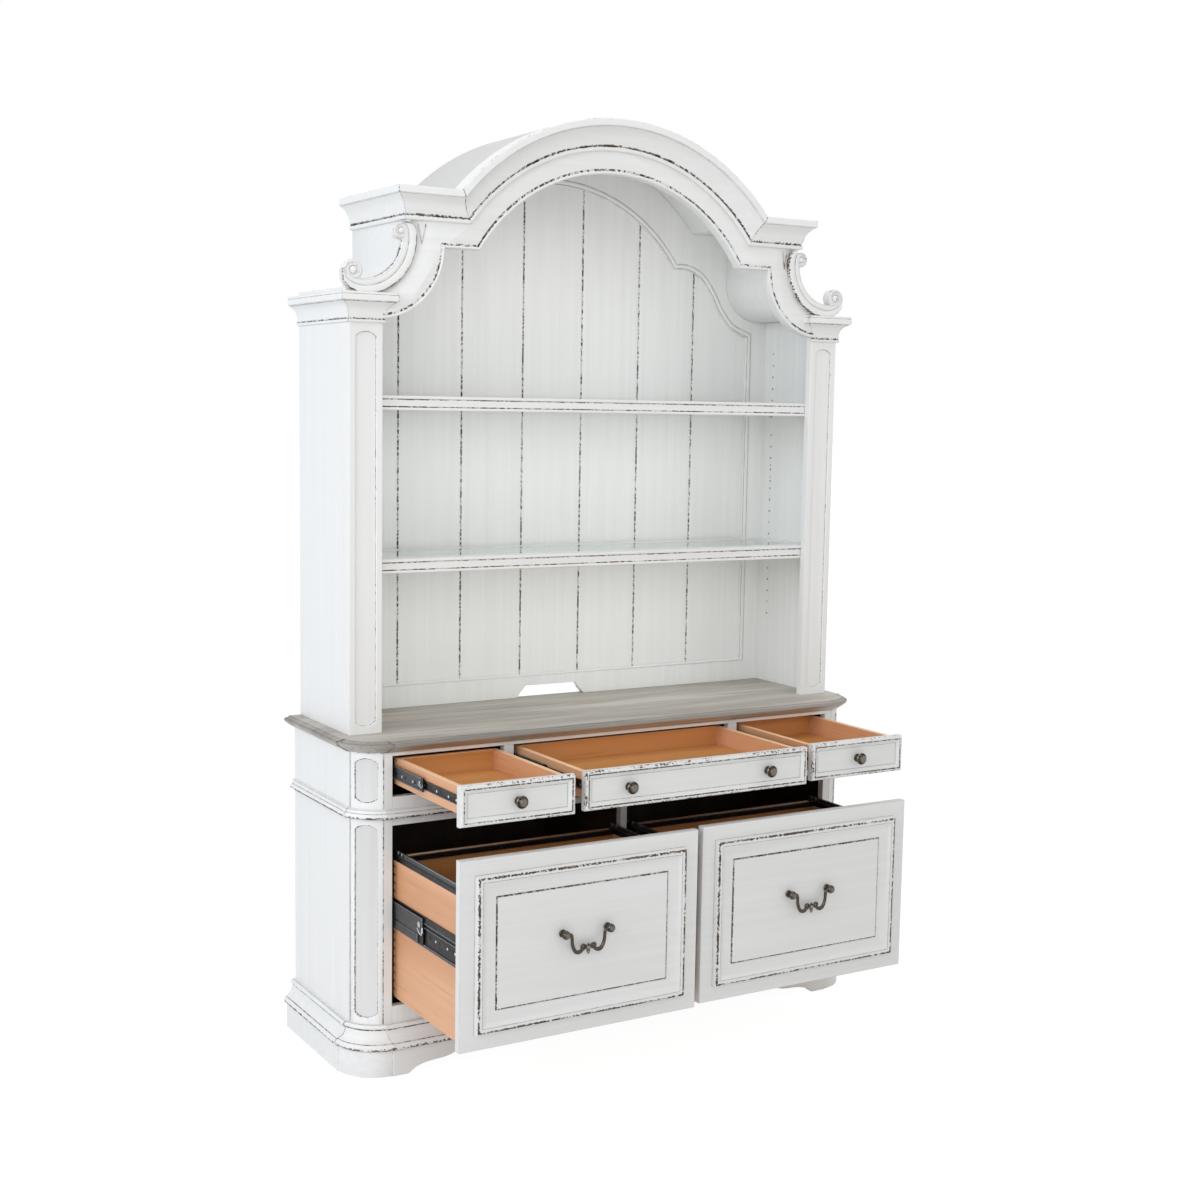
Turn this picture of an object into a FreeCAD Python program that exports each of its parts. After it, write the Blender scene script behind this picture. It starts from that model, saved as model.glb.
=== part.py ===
import FreeCAD, Part
import Sketcher
import math
import os

# Credenza with hutch: a low case with three pencil drawers and two file drawers, and on it an open
# hutch with two shelves under an arched crown. Millimetres, +Z up, the front faces -Y.
# The origin is on the floor at the middle of the back. The drawers stand open at rest.

# Driving dimensions: name, millimetres, what it is.
DIMENSIONS = (
    # Case of the credenza
    ("case_half_width", 708, "middle to the outer face of a side panel"),
    ("case_depth", 400, "back to the front of the face frame"),
    ("top_height", 787, "floor to the worktop"),
    ("top_thick", 28, "worktop thickness"),
    ("top_overhang", 27, "how far the worktop stands out past the case"),
    ("case_board", 18, "thickness of side panels, partition, bottom and web"),
    ("back_board", 8, "thickness of the back panel and of the back planks"),
    ("frame_thick", 20, "front to back of the face frame"),
    ("corner_along", 55, "front of the case to where the canted corner starts on the side"),
    ("corner_across", 63, "side of the case to where the canted corner ends on the front"),
    ("corner_bulge", 6, "how far the canted corner swells out of its chord"),
    ("corner_quirk", 3, "small step at both ends of a canted corner"),
    ("corner_ease", 0.3, "gap between a post's rounded face and what is fitted around it"),
    ("post_panel_width", 55, "width of the sunk panels on a corner post"),
    ("post_panel_margin", 14, "from the ends of a post's field to its sunk panel"),
    ("sunk_depth", 4, "depth of the sunk panels"),
    ("panel_crown", 11, "rise of the rounded ends of a sunk panel"),
    # Face frame
    ("stile_width", 21, "width of a corner stile"),
    ("top_rail_tall", 9, "height of the top rail"),
    ("pencil_opening_tall", 95, "height of the pencil drawer openings"),
    ("waist_rail_tall", 67, "height of the waist rail"),
    ("file_opening_low", 160, "lower edge of the file drawer openings"),
    ("bottom_rail_low", 100, "lower edge of the bottom rail"),
    ("muntin_offset", 300, "inner edge of a corner stile to the middle of a muntin"),
    ("muntin_width", 26, "width of a muntin and of the divider behind it"),
    ("case_floor", 130, "underside of the bottom panel"),
    ("web_drop", 33, "lower edge of the pencil drawer openings to the underside of the web"),
    # Mouldings and plinth
    ("waist_drop", 51, "lower edge of the pencil drawer openings to that of the waist moulding"),
    ("waist_tall", 24, "height of the waist moulding"),
    ("waist_reach", 12, "how far the waist moulding stands out"),
    ("plinth_tall", 62, "height of the plinth skirt"),
    ("plinth_reach", 23, "how far the plinth stands out"),
    ("base_tall", 59, "height of the base moulding above the plinth"),
    ("base_reach", 30, "how far the base moulding stands out"),
    ("foot_width", 118, "side of the case to the inner end of a bracket foot"),
    ("apron_rise", 36, "floor to the apron's edge between the feet"),
    ("foot_sweep", 128, "length of the curved stretch of a bracket foot"),
    ("plinth_back_thick", 20, "thickness of the plinth's back rail"),
    # Drawers
    ("front_thick", 20, "thickness of a drawer front without its moulding"),
    ("front_gap", 2.5, "gap around a drawer front in its opening"),
    ("pencil_bevel", 5, "raised edge of a pencil drawer front"),
    ("pencil_crest", 9, "edge of the front to the inner side of the raised edge"),
    ("pencil_field", 19, "edge of the front to the sunk field"),
    ("pencil_sink", 6, "depth of the sunk field"),
    ("file_border", 35, "flat border around the moulding of a file front"),
    ("file_raise", 13, "height of the moulding on a file front"),
    ("file_rise_run", 6, "run of the moulding's outer slope"),
    ("file_crest", 10, "width of the moulding's crest"),
    ("file_fall_run", 34, "run of the moulding's inner slope"),
    ("file_field_raise", 5, "height of the foot of the inner slope"),
    ("file_panel_raise", 2.5, "height of the middle panel over the slope's foot"),
    ("file_panel_gap", 3, "groove between the slope's foot and the middle panel"),
    ("drawer_wall", 12, "thickness of drawer box sides and backs"),
    ("drawer_bottom", 6, "thickness of drawer bottoms"),
    ("drawer_bottom_rise", 8, "box lower edge to the underside of its bottom"),
    ("box_back_gap", 35, "back of the case to a closed drawer box"),
    ("pencil_box_rise", 26, "lower edge of a pencil drawer box above its opening's"),
    ("pencil_box_drop", 8, "upper edge of a pencil drawer box below its opening's"),
    ("file_box_rise", 16, "lower edge of a file drawer box above its opening's"),
    ("file_box_drop", 77, "upper edge of a file drawer box below its opening's"),
    ("left_pencil_kept", 34, "inner depth that the left pencil drawer isn't drawn out by"),
    ("middle_pencil_kept", 45, "the same for the middle pencil drawer"),
    ("right_pencil_kept", 65, "the same for the right pencil drawer"),
    ("left_file_kept", 35, "the same for the left file drawer"),
    ("right_file_kept", 50, "the same for the right file drawer"),
    # Slides
    ("slide_plate", 4, "thickness of one slide member"),
    ("slide_clear", 0.35, "running gap between slide members"),
    ("slide_setback", 2, "face frame to the front end of a fixed member"),
    ("pencil_slide_rise", 31, "lower edge of a pencil box to the middle of its slides"),
    ("pencil_slide_tall", 38, "height of a pencil slide's fixed member"),
    ("file_slide_rise", 202, "lower edge of a file box to the middle of its slides"),
    ("file_slide_tall", 80, "height of a file slide's fixed member"),
    ("slide_hole", 3.2, "radius of the holes in a slide member"),
    # Hanging-file rails
    ("hang_rail_tall", 14, "height of the rails on a file box"),
    ("hang_rail_thick", 4, "thickness of the cross rails"),
    ("hang_rail_gap", 24, "cross rails from the ends of the box"),
    ("cross_rail_rise", 3, "how far the cross rails stand above the box"),
    # Knobs and pulls
    ("knob_radius", 14.5, "largest radius of a knob"),
    ("knob_length", 27, "front to back of a knob"),
    ("middle_knob_inset", 131, "middle of a muntin to a knob of the middle drawer"),
    ("pull_spacing", 115, "between the two posts of a bail pull"),
    ("pull_above_middle", 22, "pull posts above the middle of the file front"),
    ("post_ball_radius", 10, "radius of the ball of a pull post"),
    ("post_foot_radius", 9, "radius of the foot of a pull post"),
    ("post_neck_radius", 6, "radius of the neck of a pull post"),
    ("post_reach", 17, "foot of a pull post to the middle of its ball"),
    ("post_foot_thick", 4, "thickness of the foot of a pull post"),
    ("bail_radius", 3.2, "radius of the bail's rod"),
    ("bail_clear", 0.08, "running gap of the bail's pins"),
    ("bail_drop", 43, "pins to the lowest run of the bail"),
    ("bail_bend", 6.5, "radius of the bail's bends"),
    ("bail_pin_depth", 7, "how far a pin goes into its post"),
    ("bail_boss", 5.5, "radius of the ornament at the bail's middle"),
    # Hutch
    ("hutch_setback", 15, "side of the case to the outer face of the hutch side"),
    ("pilaster_width", 82, "width of a pilaster"),
    ("hutch_recess", 90, "front of the case to the front of a pilaster"),
    ("pilaster_thick", 20, "thickness of a pilaster"),
    ("pilaster_panel_width", 52, "width of the sunk panel on a pilaster"),
    ("pilaster_panel_margin", 19, "pilaster ends to its sunk panel"),
    ("hutch_board", 18, "thickness of hutch sides and of the roof flats"),
    ("pilaster_tall", 943, "worktop to the lower edge of a capital"),
    ("capital_tall", 67, "height of a capital"),
    ("capital_reach", 28, "how far a capital stands out"),
    ("fascia_proud", 6, "how far the fascia stands out past the pilasters"),
    ("arch_drop", 58, "lower edge of a capital to the centre of all the crown's arcs"),
    ("arch_inset", 255, "hutch side to the fascia's arch at the height of its centre"),
    ("ledge_rise", 110, "upper face of a capital to the ledges beside the fascia's arch"),
    ("spandrel_radius", 167, "radius of the rounded spandrels beside the capitals"),
    ("spandrel_inset", 66, "hutch side to the centre of a rounded spandrel"),
    ("fascia_band", 53, "fascia's arch to the crown's lower edge"),
    ("fascia_band_flat", 57, "ledges beside the fascia's arch to the crown's lower edge"),
    ("crown_tall", 73, "height of the crown moulding"),
    ("crown_reach", 34, "how far the crown stands out"),
    ("shoulder_inset", 53, "hutch side to the centre of the shoulder's cove"),
    ("shoulder_cove", 84, "radius of the shoulder's cove"),
    ("shoulder_rise", 12, "upper face of a capital to the flat foot of the shoulder"),
    ("scroll_inset", 28, "hutch side to the centre of the C-scroll"),
    ("scroll_rise", 131, "upper face of a capital to the centre of the C-scroll"),
    ("scroll_radius", 137, "outer radius of the C-scroll"),
    ("spandrel_fall", 12, "how far the fascia falls back beside the C-scroll"),
    ("spandrel_fall_wide", 45, "width of the fascia's rounded fall beside the C-scroll"),
    ("scroll_step", 4, "how far the scroll's inner band lies behind its outer one"),
    ("volute_radius", 20, "radius of the volutes at the scroll's ends"),
    ("volute_eye", 8, "radius of the raised eye of a volute"),
    # Hutch back and shelves
    ("back_frame_thick", 12, "thickness of the frame in front of the planks"),
    ("back_stile_width", 63, "width of the back frame's stiles"),
    ("back_rail_tall", 59, "height of the back frame's bottom rail"),
    ("back_arch_grow", 6, "how much larger the back frame's arch is than the fascia's"),
    ("back_cusp_inset", 77, "back frame's arch at its centre's height to the cusp of the top rail"),
    ("back_ogee_rise", 19, "lower edge of a capital to where the top rail's curve meets the stile"),
    ("notch_half_width", 102, "half of the cable notch at the worktop"),
    ("notch_taper", 28, "how much narrower the notch is at its top"),
    ("notch_tall", 31, "height of the cable notch"),
    ("plank_width", 175, "width of a back plank"),
    ("plank_bevel", 2.5, "bevel along a plank's front edges"),
    ("lower_bay_tall", 403, "worktop to the upper face of the lower shelf"),
    ("middle_bay_tall", 378, "lower shelf to the upper face of the upper shelf"),
    ("shelf_thick", 34, "thickness of a shelf frame"),
    ("shelf_rail", 55, "width of the front and back shelf rails"),
    ("shelf_end", 60, "width of the shelf's end rails"),
    ("glass_thick", 6, "thickness of the glass inserts"),
    ("glass_lap", 10, "how far the glass lies on its rabbet"),
    ("glass_clear", 0.3, "gap around the glass"),
    ("pin_radius", 3, "radius of a shelf pin"),
    ("pin_length", 9, "how far a shelf pin stands out"),
    ("pin_inset", 40, "shelf pins from the shelf's front and back"),
    # Cutting
    ("overrun", 5, "how far cutting shapes run past what they cut"),
)

# Shapes given as shares of the sizes that they follow.
LOBE_SPREAD_SHARE = 0.6
TOP_EDGE_SHARES = (
    (0.10, 0.00), (0.25, 0.06), (0.50, 0.22), (0.74, 0.38), (0.92, 0.52), (1.00, 0.66),
    (0.97, 0.76), (0.86, 0.82), (0.74, 0.84), (0.60, 0.89), (0.54, 0.95), (0.52, 1.00),
)
WAIST_SHARES = (
    (0.25, 0.00), (0.75, 0.06), (1.00, 0.24), (0.95, 0.42), (0.72, 0.54), (0.50, 0.58),
    (0.46, 0.90), (0.30, 1.00),
)
BASE_SHARES = (
    (0.78, 0.00), (0.93, 0.04), (1.00, 0.14), (0.96, 0.24), (0.84, 0.30), (0.66, 0.36),
    (0.50, 0.45), (0.37, 0.57), (0.30, 0.70), (0.28, 0.79), (0.38, 0.82), (0.42, 0.89),
    (0.35, 0.97), (0.12, 1.00),
)
CAPITAL_SHARES = (
    (0.06, 0.00), (0.20, 0.03), (0.22, 0.08), (0.14, 0.13), (0.15, 0.28), (0.25, 0.44),
    (0.46, 0.58), (0.80, 0.68), (1.00, 0.70), (1.00, 0.96), (0.94, 1.00),
)
CROWN_SHARES = (
    (0.05, 0.00), (0.18, 0.03), (0.22, 0.09), (0.23, 0.15), (0.25, 0.28), (0.32, 0.44),
    (0.47, 0.58), (0.72, 0.70), (0.90, 0.76), (1.00, 0.77), (1.00, 1.00),
)
KNOB_SHARES = (
    (0.62, 0.00), (0.66, 0.08), (0.46, 0.16), (0.36, 0.30), (0.42, 0.42), (0.84, 0.52),
    (1.00, 0.66), (0.94, 0.80), (0.70, 0.92), (0.36, 0.99),
)
SLIDE_MEMBERS = ("fixed", "middle", "drawer")
PENCIL_SLIDE_SHARES = (1.0, 0.82, 0.55)
FILE_SLIDE_SHARES = (1.0, 0.78, 0.88)
SLIDE_HOLE_SHARES = (0.06, 0.22, 0.50, 0.78, 0.94)
FOOT_CURVE_SHARES = ((0.14, 0.34), (0.42, 0.58), (0.74, 0.66))
BACK_OGEE_SHARES = ((0.18, 1.00), (0.36, 0.88), (0.50, 0.64), (0.62, 0.36), (0.78, 0.13))
# Each row of the scroll: degrees, then its outer, middle and inner lines as shares of its radius.
SCROLL_SHARES = (
    (-119, 0.66, 0.64, 0.62), (-112, 0.82, 0.75, 0.69), (-106, 0.89, 0.80, 0.71), (-98, 0.94, 0.83, 0.72),
    (-88, 0.98, 0.85, 0.73), (-60, 1.0, 0.86, 0.735), (-30, 1.0, 0.86, 0.735), (-6, 1.0, 0.85, 0.725),
    (7, 0.99, 0.84, 0.72), (12.5, 0.93, 0.81, 0.72), (17, 0.75, 0.735, 0.72),
)
# Each volute: degrees, its centre as a share of the scroll's radius, its size as a share of volute_radius.
VOLUTE_SHARES = ((-103, 0.62, 1.2), (6.5, 0.71, 0.95))
FALL_SHARES = ((-0.3, 1.5), (0.34, 0.48), (1.0, 0.0))
ORNAMENT_SHARES = (
    (0.02, 0.58), (0.45, 0.65), (0.36, 0.72), (1.0, 0.84), (0.82, 0.95), (0.73, 1.05), (0.27, 1.14),
    (0.02, 1.19),
)
BAIL_SHARES = ((1.0, 0.52), (0.66, 1.0), (0.30, 0.84))
LEAF_SHARES = (0.40, 0.76)
FULL_TURN = 360

doc = FreeCAD.newDocument("credenza_with_hutch")
sheet = doc.addObject("Spreadsheet::Sheet", "dims")
nodes = []


class Size:
    """A length that knows its number and the sheet expression it comes from."""

    def __init__(self, number, text):
        self.number = number
        self.text = text

    def joined(self, other, sign, number):
        text = other.text if isinstance(other, Size) else repr(other)
        return Size(number, "(%s %s %s)" % (self.text, sign, text))

    def __add__(self, other):
        return self.joined(other, "+", self.number + other.number)

    def __sub__(self, other):
        return self.joined(other, "-", self.number - other.number)

    def __mul__(self, factor):
        return self.joined(factor, "*", self.number * factor)

    def __truediv__(self, factor):
        return self.joined(factor, "/", self.number / factor)

    def __neg__(self):
        return Size(-self.number, "(0 - %s)" % self.text)


class Dims:
    """Every driving dimension under its own name."""


def fill_sheet():
    """Write the driving dimensions to the sheet and give each its alias."""
    for row, (name, value, meaning) in enumerate(DIMENSIONS, start=1):
        sheet.set("A%d" % row, meaning)
        sheet.set("B%d" % row, str(value))
        sheet.setAlias("B%d" % row, name)
        setattr(Dims, name, Size(float(value), "dims." + name))
    doc.recompute()


fill_sheet()
D = Dims
ZERO = Size(0.0, "0")

# Levels and faces that follow from them: the case.
case_top = D.top_height - D.top_thick
frame_back = D.case_depth - D.frame_thick
case_inner = D.case_half_width - D.case_board
floor_top = D.case_floor + D.case_board
cant_side = D.case_depth - D.corner_along
cant_front = D.case_half_width - D.corner_across
opening_half_width = cant_front - D.stile_width
muntin_middle = opening_half_width - D.muntin_offset
middle_knob_offset = muntin_middle - D.middle_knob_inset
foot_inner = D.case_half_width - D.foot_width
top_opening_high = case_top - D.top_rail_tall
top_opening_low = top_opening_high - D.pencil_opening_tall
file_opening_high = top_opening_low - D.waist_rail_tall
web_low = top_opening_low - D.web_drop
web_top = web_low + D.case_board
waist_low = top_opening_low - D.waist_drop
# The drawers.
box_length = frame_back - D.box_back_gap
left_pencil_open = frame_back - D.left_pencil_kept
middle_pencil_open = frame_back - D.middle_pencil_kept
right_pencil_open = frame_back - D.right_pencil_kept
left_file_open = frame_back - D.left_file_kept
right_file_open = frame_back - D.right_file_kept
pencil_box_low = top_opening_low + D.pencil_box_rise
pencil_box_high = top_opening_high - D.pencil_box_drop
file_box_low = D.file_opening_low + D.file_box_rise
file_box_high = file_opening_high - D.file_box_drop
pencil_slide_mid = pencil_box_low + D.pencil_slide_rise
file_slide_mid = file_box_low + D.file_slide_rise
slide_space = D.slide_plate * 3 + D.slide_clear * 2
# The hutch.
hutch_half_width = D.case_half_width - D.hutch_setback
hutch_inner = hutch_half_width - D.hutch_board
pilaster_inner = hutch_half_width - D.pilaster_width
pilaster_front = D.case_depth - D.hutch_recess
pilaster_back = pilaster_front - D.pilaster_thick
fascia_front = pilaster_front + D.fascia_proud
capital_low = D.top_height + D.pilaster_tall
capital_high = capital_low + D.capital_tall
arch_height = capital_low - D.arch_drop
opening_arch = hutch_half_width - D.arch_inset
opening_ledge = capital_high + D.ledge_rise
spandrel_middle = hutch_half_width - D.spandrel_inset
crown_arch = opening_arch + D.fascia_band
crown_ledge = opening_ledge + D.fascia_band_flat
crown_high = crown_ledge + D.crown_tall
roof_radius = crown_arch + D.crown_tall
roof_under = crown_high - D.hutch_board
shoulder_middle = hutch_half_width - D.shoulder_inset
shoulder_top = capital_high + D.shoulder_rise
shoulder_low = shoulder_top - D.hutch_board
shoulder_height = shoulder_top + D.shoulder_cove
upper_half = shoulder_middle - D.shoulder_cove
scroll_middle = hutch_half_width - D.scroll_inset
scroll_height = capital_high + D.scroll_rise
back_front = D.back_board + D.back_frame_thick
back_arch = opening_arch + D.back_arch_grow
back_cusp = back_arch - D.back_cusp_inset
back_ogee_low = capital_low + D.back_ogee_rise
lower_shelf = D.top_height + D.lower_bay_tall
upper_shelf = lower_shelf + D.middle_bay_tall


def keep(label, item):
    """Name a sub-part and list it for writing."""
    item.Label = label
    nodes.append(item)
    return item


def board(name, x, y, z):
    """A plain board between two values on each axis, bound to the sheet."""
    box = doc.addObject("Part::Box", name)
    for prop, axis, (low, high) in (("Length", "x", x), ("Width", "y", y), ("Height", "z", z)):
        box.setExpression(prop, (high - low).text)
        box.setExpression("Placement.Base." + axis, low.text)
    return box


def group(label, items):
    """Several separate solids that share one node."""
    compound = doc.addObject("Part::Compound", label)
    compound.Links = items
    return keep(label, compound)


def shaped(label, shape):
    """A sub-part whose shape is worked out from the sheet's values."""
    feature = doc.addObject("Part::Feature", label)
    feature.Shape = shape
    feature.Placement = FreeCAD.Placement()
    return feature


def mirrored(label, source):
    """The right-hand twin of a left-hand piece."""
    twin = doc.addObject("Part::Mirroring", label)
    twin.Source = source
    twin.Base = FreeCAD.Vector(0, 0, 0)
    twin.Normal = FreeCAD.Vector(1, 0, 0)
    return twin


def origin_plane(body, role):
    return [plane for plane in body.Origin.OriginFeatures if plane.Role == role][0]


def outline_sketch(body, name, role, points, lift=None):
    """A closed outline of straight lines whose corners are bound to the sheet."""
    sketch = body.newObject("Sketcher::SketchObject", name)
    sketch.AttachmentSupport = (origin_plane(body, role), [""])
    sketch.MapMode = "FlatFace"
    if lift is not None:
        sketch.setExpression("AttachmentOffset.Base.z", lift.text)
    corners = [FreeCAD.Vector(across.number, up.number, 0) for across, up in points]
    count = len(corners)
    for i in range(count):
        sketch.addGeometry(Part.LineSegment(corners[i], corners[(i + 1) % count]), False)
    for i in range(count):
        sketch.addConstraint(Sketcher.Constraint("Coincident", i, 2, (i + 1) % count, 1))
    for i, (across, up) in enumerate(points):
        for kind, size in (("DistanceX", across), ("DistanceY", up)):
            number = sketch.addConstraint(Sketcher.Constraint(kind, -1, 1, i, 1, size.number))
            sketch.setExpression("Constraints[%d]" % number, size.text)
    return sketch


def rectangle(body, name, half_width, half_height, lift=None):
    corners = ((-half_width, -half_height), (half_width, -half_height),
               (half_width, half_height), (-half_width, half_height))
    return outline_sketch(body, name, "XZ_Plane", corners, lift)


def new_body(name, x, y, z):
    """A body whose place is bound to the sheet."""
    body = doc.addObject("PartDesign::Body", name)
    for axis, size in (("x", x), ("y", y), ("z", z)):
        body.setExpression("Placement.Base." + axis, size.text)
    return body


def loft_between(body, kind, name, first, second):
    loft = body.newObject("PartDesign::" + kind, name)
    loft.Profile = first
    loft.Sections = [second]
    loft.Ruled = True
    return loft


def vector(x, y, z):
    return FreeCAD.Vector(x, y, z)


def box_shape(x, y, z):
    """A box between two numbers on each axis, for cutting."""
    return Part.makeBox(x[1] - x[0], y[1] - y[0], z[1] - z[0], vector(x[0], y[0], z[0]))


def lobed_outline(reach, z, ease=0.0):
    """The credenza's plan outline, standing out by reach from the case, as a wire at height z."""
    side = D.case_half_width.number + reach
    front = D.case_depth.number + reach
    quirk = D.corner_quirk.number
    start = cant_side.number - LOBE_SPREAD_SHARE * reach
    end = cant_front.number - LOBE_SPREAD_SHARE * reach
    across = D.case_half_width.number - cant_front.number
    along = D.case_depth.number - cant_side.number
    chord = math.hypot(across, along)
    swell = (reach + D.corner_bulge.number + ease) / chord
    middle_x = (D.case_half_width.number + cant_front.number) / 2 + along * swell
    middle_y = (D.case_depth.number + cant_side.number) / 2 + across * swell
    left = [vector(-side, 0, z), vector(-side, -start, z), vector(-side + quirk, -start, z),
            vector(-middle_x, -middle_y, z), vector(-end, -front + quirk, z), vector(-end, -front, z)]
    right = [vector(-point.x, point.y, z) for point in reversed(left)]
    edges = []
    for half in (left, right):
        first, second, third, fourth, fifth, sixth = half
        if half is left:
            edges += [Part.makeLine(first, second), Part.makeLine(second, third)]
            edges += [Part.Arc(third, fourth, fifth).toShape(), Part.makeLine(fifth, sixth)]
            edges.append(Part.makeLine(sixth, right[0]))
        else:
            edges += [Part.makeLine(first, second), Part.Arc(second, third, fourth).toShape()]
            edges += [Part.makeLine(fourth, fifth), Part.makeLine(fifth, sixth)]
    edges.append(Part.makeLine(right[5], left[0]))
    return Part.Wire(edges)


def lobed_slab(shares, reach, low, tall):
    """A moulded slab around the lobed outline, from shares of its reach and height."""
    wires = [lobed_outline(out * reach, low + up * tall) for out, up in shares]
    return Part.makeLoft(wires, True, True)


def lobed_prism(reach, low, high, ease=0.0):
    return Part.Face(lobed_outline(reach, low, ease)).extrude(vector(0, 0, high - low))


def lobed_ring(shares, reach, low, tall):
    """A moulding around the case, open at the back."""
    spare = D.overrun.number
    inside = lobed_prism(0, low - spare, low + tall + spare, D.corner_ease.number)
    return lobed_slab(shares, reach, low, tall).cut(inside)


def lozenge_wire(middle, half_width, low, high, rise, place):
    """A panel outline with rounded ends, drawn across and up, set where place says."""
    left, right = middle - half_width, middle + half_width
    corners = [place(left, low + rise), place(middle, low), place(right, low + rise),
               place(right, high - rise), place(middle, high), place(left, high - rise)]
    return Part.Wire([Part.Arc(corners[0], corners[1], corners[2]).toShape(),
                      Part.makeLine(corners[2], corners[3]),
                      Part.Arc(corners[3], corners[4], corners[5]).toShape(),
                      Part.makeLine(corners[5], corners[0])])


def canted_board(name, low):
    """A board across the case whose front corners are cut off along the corner posts."""
    body = new_body(name, ZERO, ZERO, low)
    corners = ((-case_inner, -D.back_board), (-case_inner, -cant_side), (-cant_front, -frame_back),
               (cant_front, -frame_back), (case_inner, -cant_side), (case_inner, -D.back_board))
    pad = body.newObject("PartDesign::Pad", name + "_pad")
    pad.Profile = outline_sketch(body, name + "_outline", "XY_Plane", corners)
    pad.setExpression("Length", D.case_board.text)
    return body


def make_case():
    """The credenza's boards, all plain and bound to the sheet."""
    sides = (-D.case_half_width, -case_inner), (case_inner, D.case_half_width)
    for label, x in (("left_side_panel", sides[0]), ("right_side_panel", sides[1])):
        keep(label, board(label, x, (-cant_side, ZERO), (ZERO, case_top)))
    inside = (-case_inner, case_inner)
    inner_depth = (-frame_back, -D.back_board)
    back = (-D.back_board, ZERO)
    keep("case_back_panel", board("case_back_panel", inside, back, (D.plinth_tall, case_top)))
    keep("case_bottom_panel", canted_board("case_bottom_panel", D.case_floor))
    half = D.case_board / 2
    keep("centre_partition", board("centre_partition", (-half, half), inner_depth, (floor_top, web_low)))
    muntin = D.muntin_width / 2
    web = [canted_board("web_board", web_low)]
    for name, middle in (("left_divider", -muntin_middle), ("right_divider", muntin_middle)):
        web.append(board(name, (middle - muntin, middle + muntin), inner_depth, (web_top, case_top)))
    group("drawer_web_and_dividers", web)


def make_face_frame():
    """Stiles, rails and muntins in front of the case."""
    depth = (-D.case_depth, -frame_back)
    wide = (-opening_half_width, opening_half_width)
    half = D.case_board / 2
    muntin = D.muntin_width / 2
    left, right = -muntin_middle, muntin_middle
    top_opening = (top_opening_low, top_opening_high)
    group("face_frame", [
        board("left_stile", (-cant_front, -opening_half_width), depth, (ZERO, case_top)),
        board("right_stile", (opening_half_width, cant_front), depth, (ZERO, case_top)),
        board("top_rail", wide, depth, (top_opening_high, case_top)),
        board("waist_rail", wide, depth, (file_opening_high, top_opening_low)),
        board("bottom_rail", wide, depth, (D.bottom_rail_low, D.file_opening_low)),
        board("left_muntin", (left - muntin, left + muntin), depth, top_opening),
        board("right_muntin", (right - muntin, right + muntin), depth, top_opening),
        board("centre_stile", (-half, half), depth, (D.file_opening_low, file_opening_high)),
    ])


def make_corner_posts():
    """Canted posts with two sunk panels each, one above the waist and one below."""
    side, front = D.case_half_width.number, D.case_depth.number
    start, end = cant_side.number, cant_front.number
    across, along = side - end, front - start
    chord = math.hypot(across, along)
    out = vector(-along / chord, -across / chord, 0)
    swell = out * D.corner_bulge.number
    middle = vector(-(side + end) / 2, -(front + start) / 2, 0)
    quirk = D.corner_quirk.number
    corners = [vector(-side + quirk, -start, 0), middle + swell, vector(-end, -front + quirk, 0),
               vector(-end, -frame_back.number, 0), vector(-case_inner.number, -start, 0)]
    outline = Part.Wire([Part.Arc(corners[0], corners[1], corners[2]).toShape(),
                         Part.makeLine(corners[2], corners[3]),
                         Part.makeLine(corners[3], corners[4]),
                         Part.makeLine(corners[4], corners[0])])
    post = Part.Face(outline).extrude(vector(0, 0, case_top.number))
    cross = vector(across / chord, -along / chord, 0)
    spare = D.overrun.number
    depth = D.sunk_depth.number + D.corner_bulge.number + spare
    core = post.translated(out * -D.sunk_depth.number)

    def place(sideways, up):
        return middle + swell + out * spare + cross * sideways + vector(0, 0, up)

    margin = D.post_panel_margin.number
    base_high = (D.plinth_tall + D.base_tall).number
    waist_high = (waist_low + D.waist_tall).number
    half = D.post_panel_width.number / 2
    for low, high in ((base_high, waist_low.number), (waist_high, case_top.number)):
        panel = lozenge_wire(0, half, low + margin, high - margin, D.panel_crown.number, place)
        post = post.cut(Part.Face(panel).extrude(out * -depth).cut(core))
    left = keep("left_corner_post", shaped("left_corner_post", post))
    keep("right_corner_post", mirrored("right_corner_post", left))


def make_top_and_mouldings():
    """Worktop, waist moulding and base moulding, all following the lobed corners."""
    top = lobed_slab(TOP_EDGE_SHARES, D.top_overhang.number, case_top.number, D.top_thick.number)
    keep("credenza_top", shaped("credenza_top", top))
    waist = lobed_ring(WAIST_SHARES, D.waist_reach.number, waist_low.number, D.waist_tall.number)
    keep("waist_moulding", shaped("waist_moulding", waist))
    base = lobed_ring(BASE_SHARES, D.base_reach.number, D.plinth_tall.number, D.base_tall.number)
    keep("base_moulding", shaped("base_moulding", base))


def apron_cut():
    """The space between the bracket feet: two swept curves and a straight edge."""
    rise, sweep, inner = D.apron_rise.number, D.foot_sweep.number, foot_inner.number
    front = -(D.case_depth + D.plinth_reach + D.overrun).number
    spare = D.overrun.number
    left = [vector(-inner, front, 0)]
    left += [vector(-inner + run * sweep, front, up * rise) for run, up in FOOT_CURVE_SHARES]
    left.append(vector(-inner + sweep, front, rise))
    right = [vector(-point.x, point.y, point.z) for point in reversed(left)]
    edges = []
    for side in (left, right):
        curve = Part.BSplineCurve()
        curve.interpolate(side)
        edges.append(curve.toShape())
    low_left, low_right = vector(-inner, front, -spare), vector(inner, front, -spare)
    edges.insert(1, Part.makeLine(left[-1], right[0]))
    edges += [Part.makeLine(right[-1], low_right), Part.makeLine(low_right, low_left)]
    edges.append(Part.makeLine(low_left, left[0]))
    return Part.Face(Part.Wire(edges)).extrude(vector(0, (D.plinth_reach + D.overrun * 2).number, 0))


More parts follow.
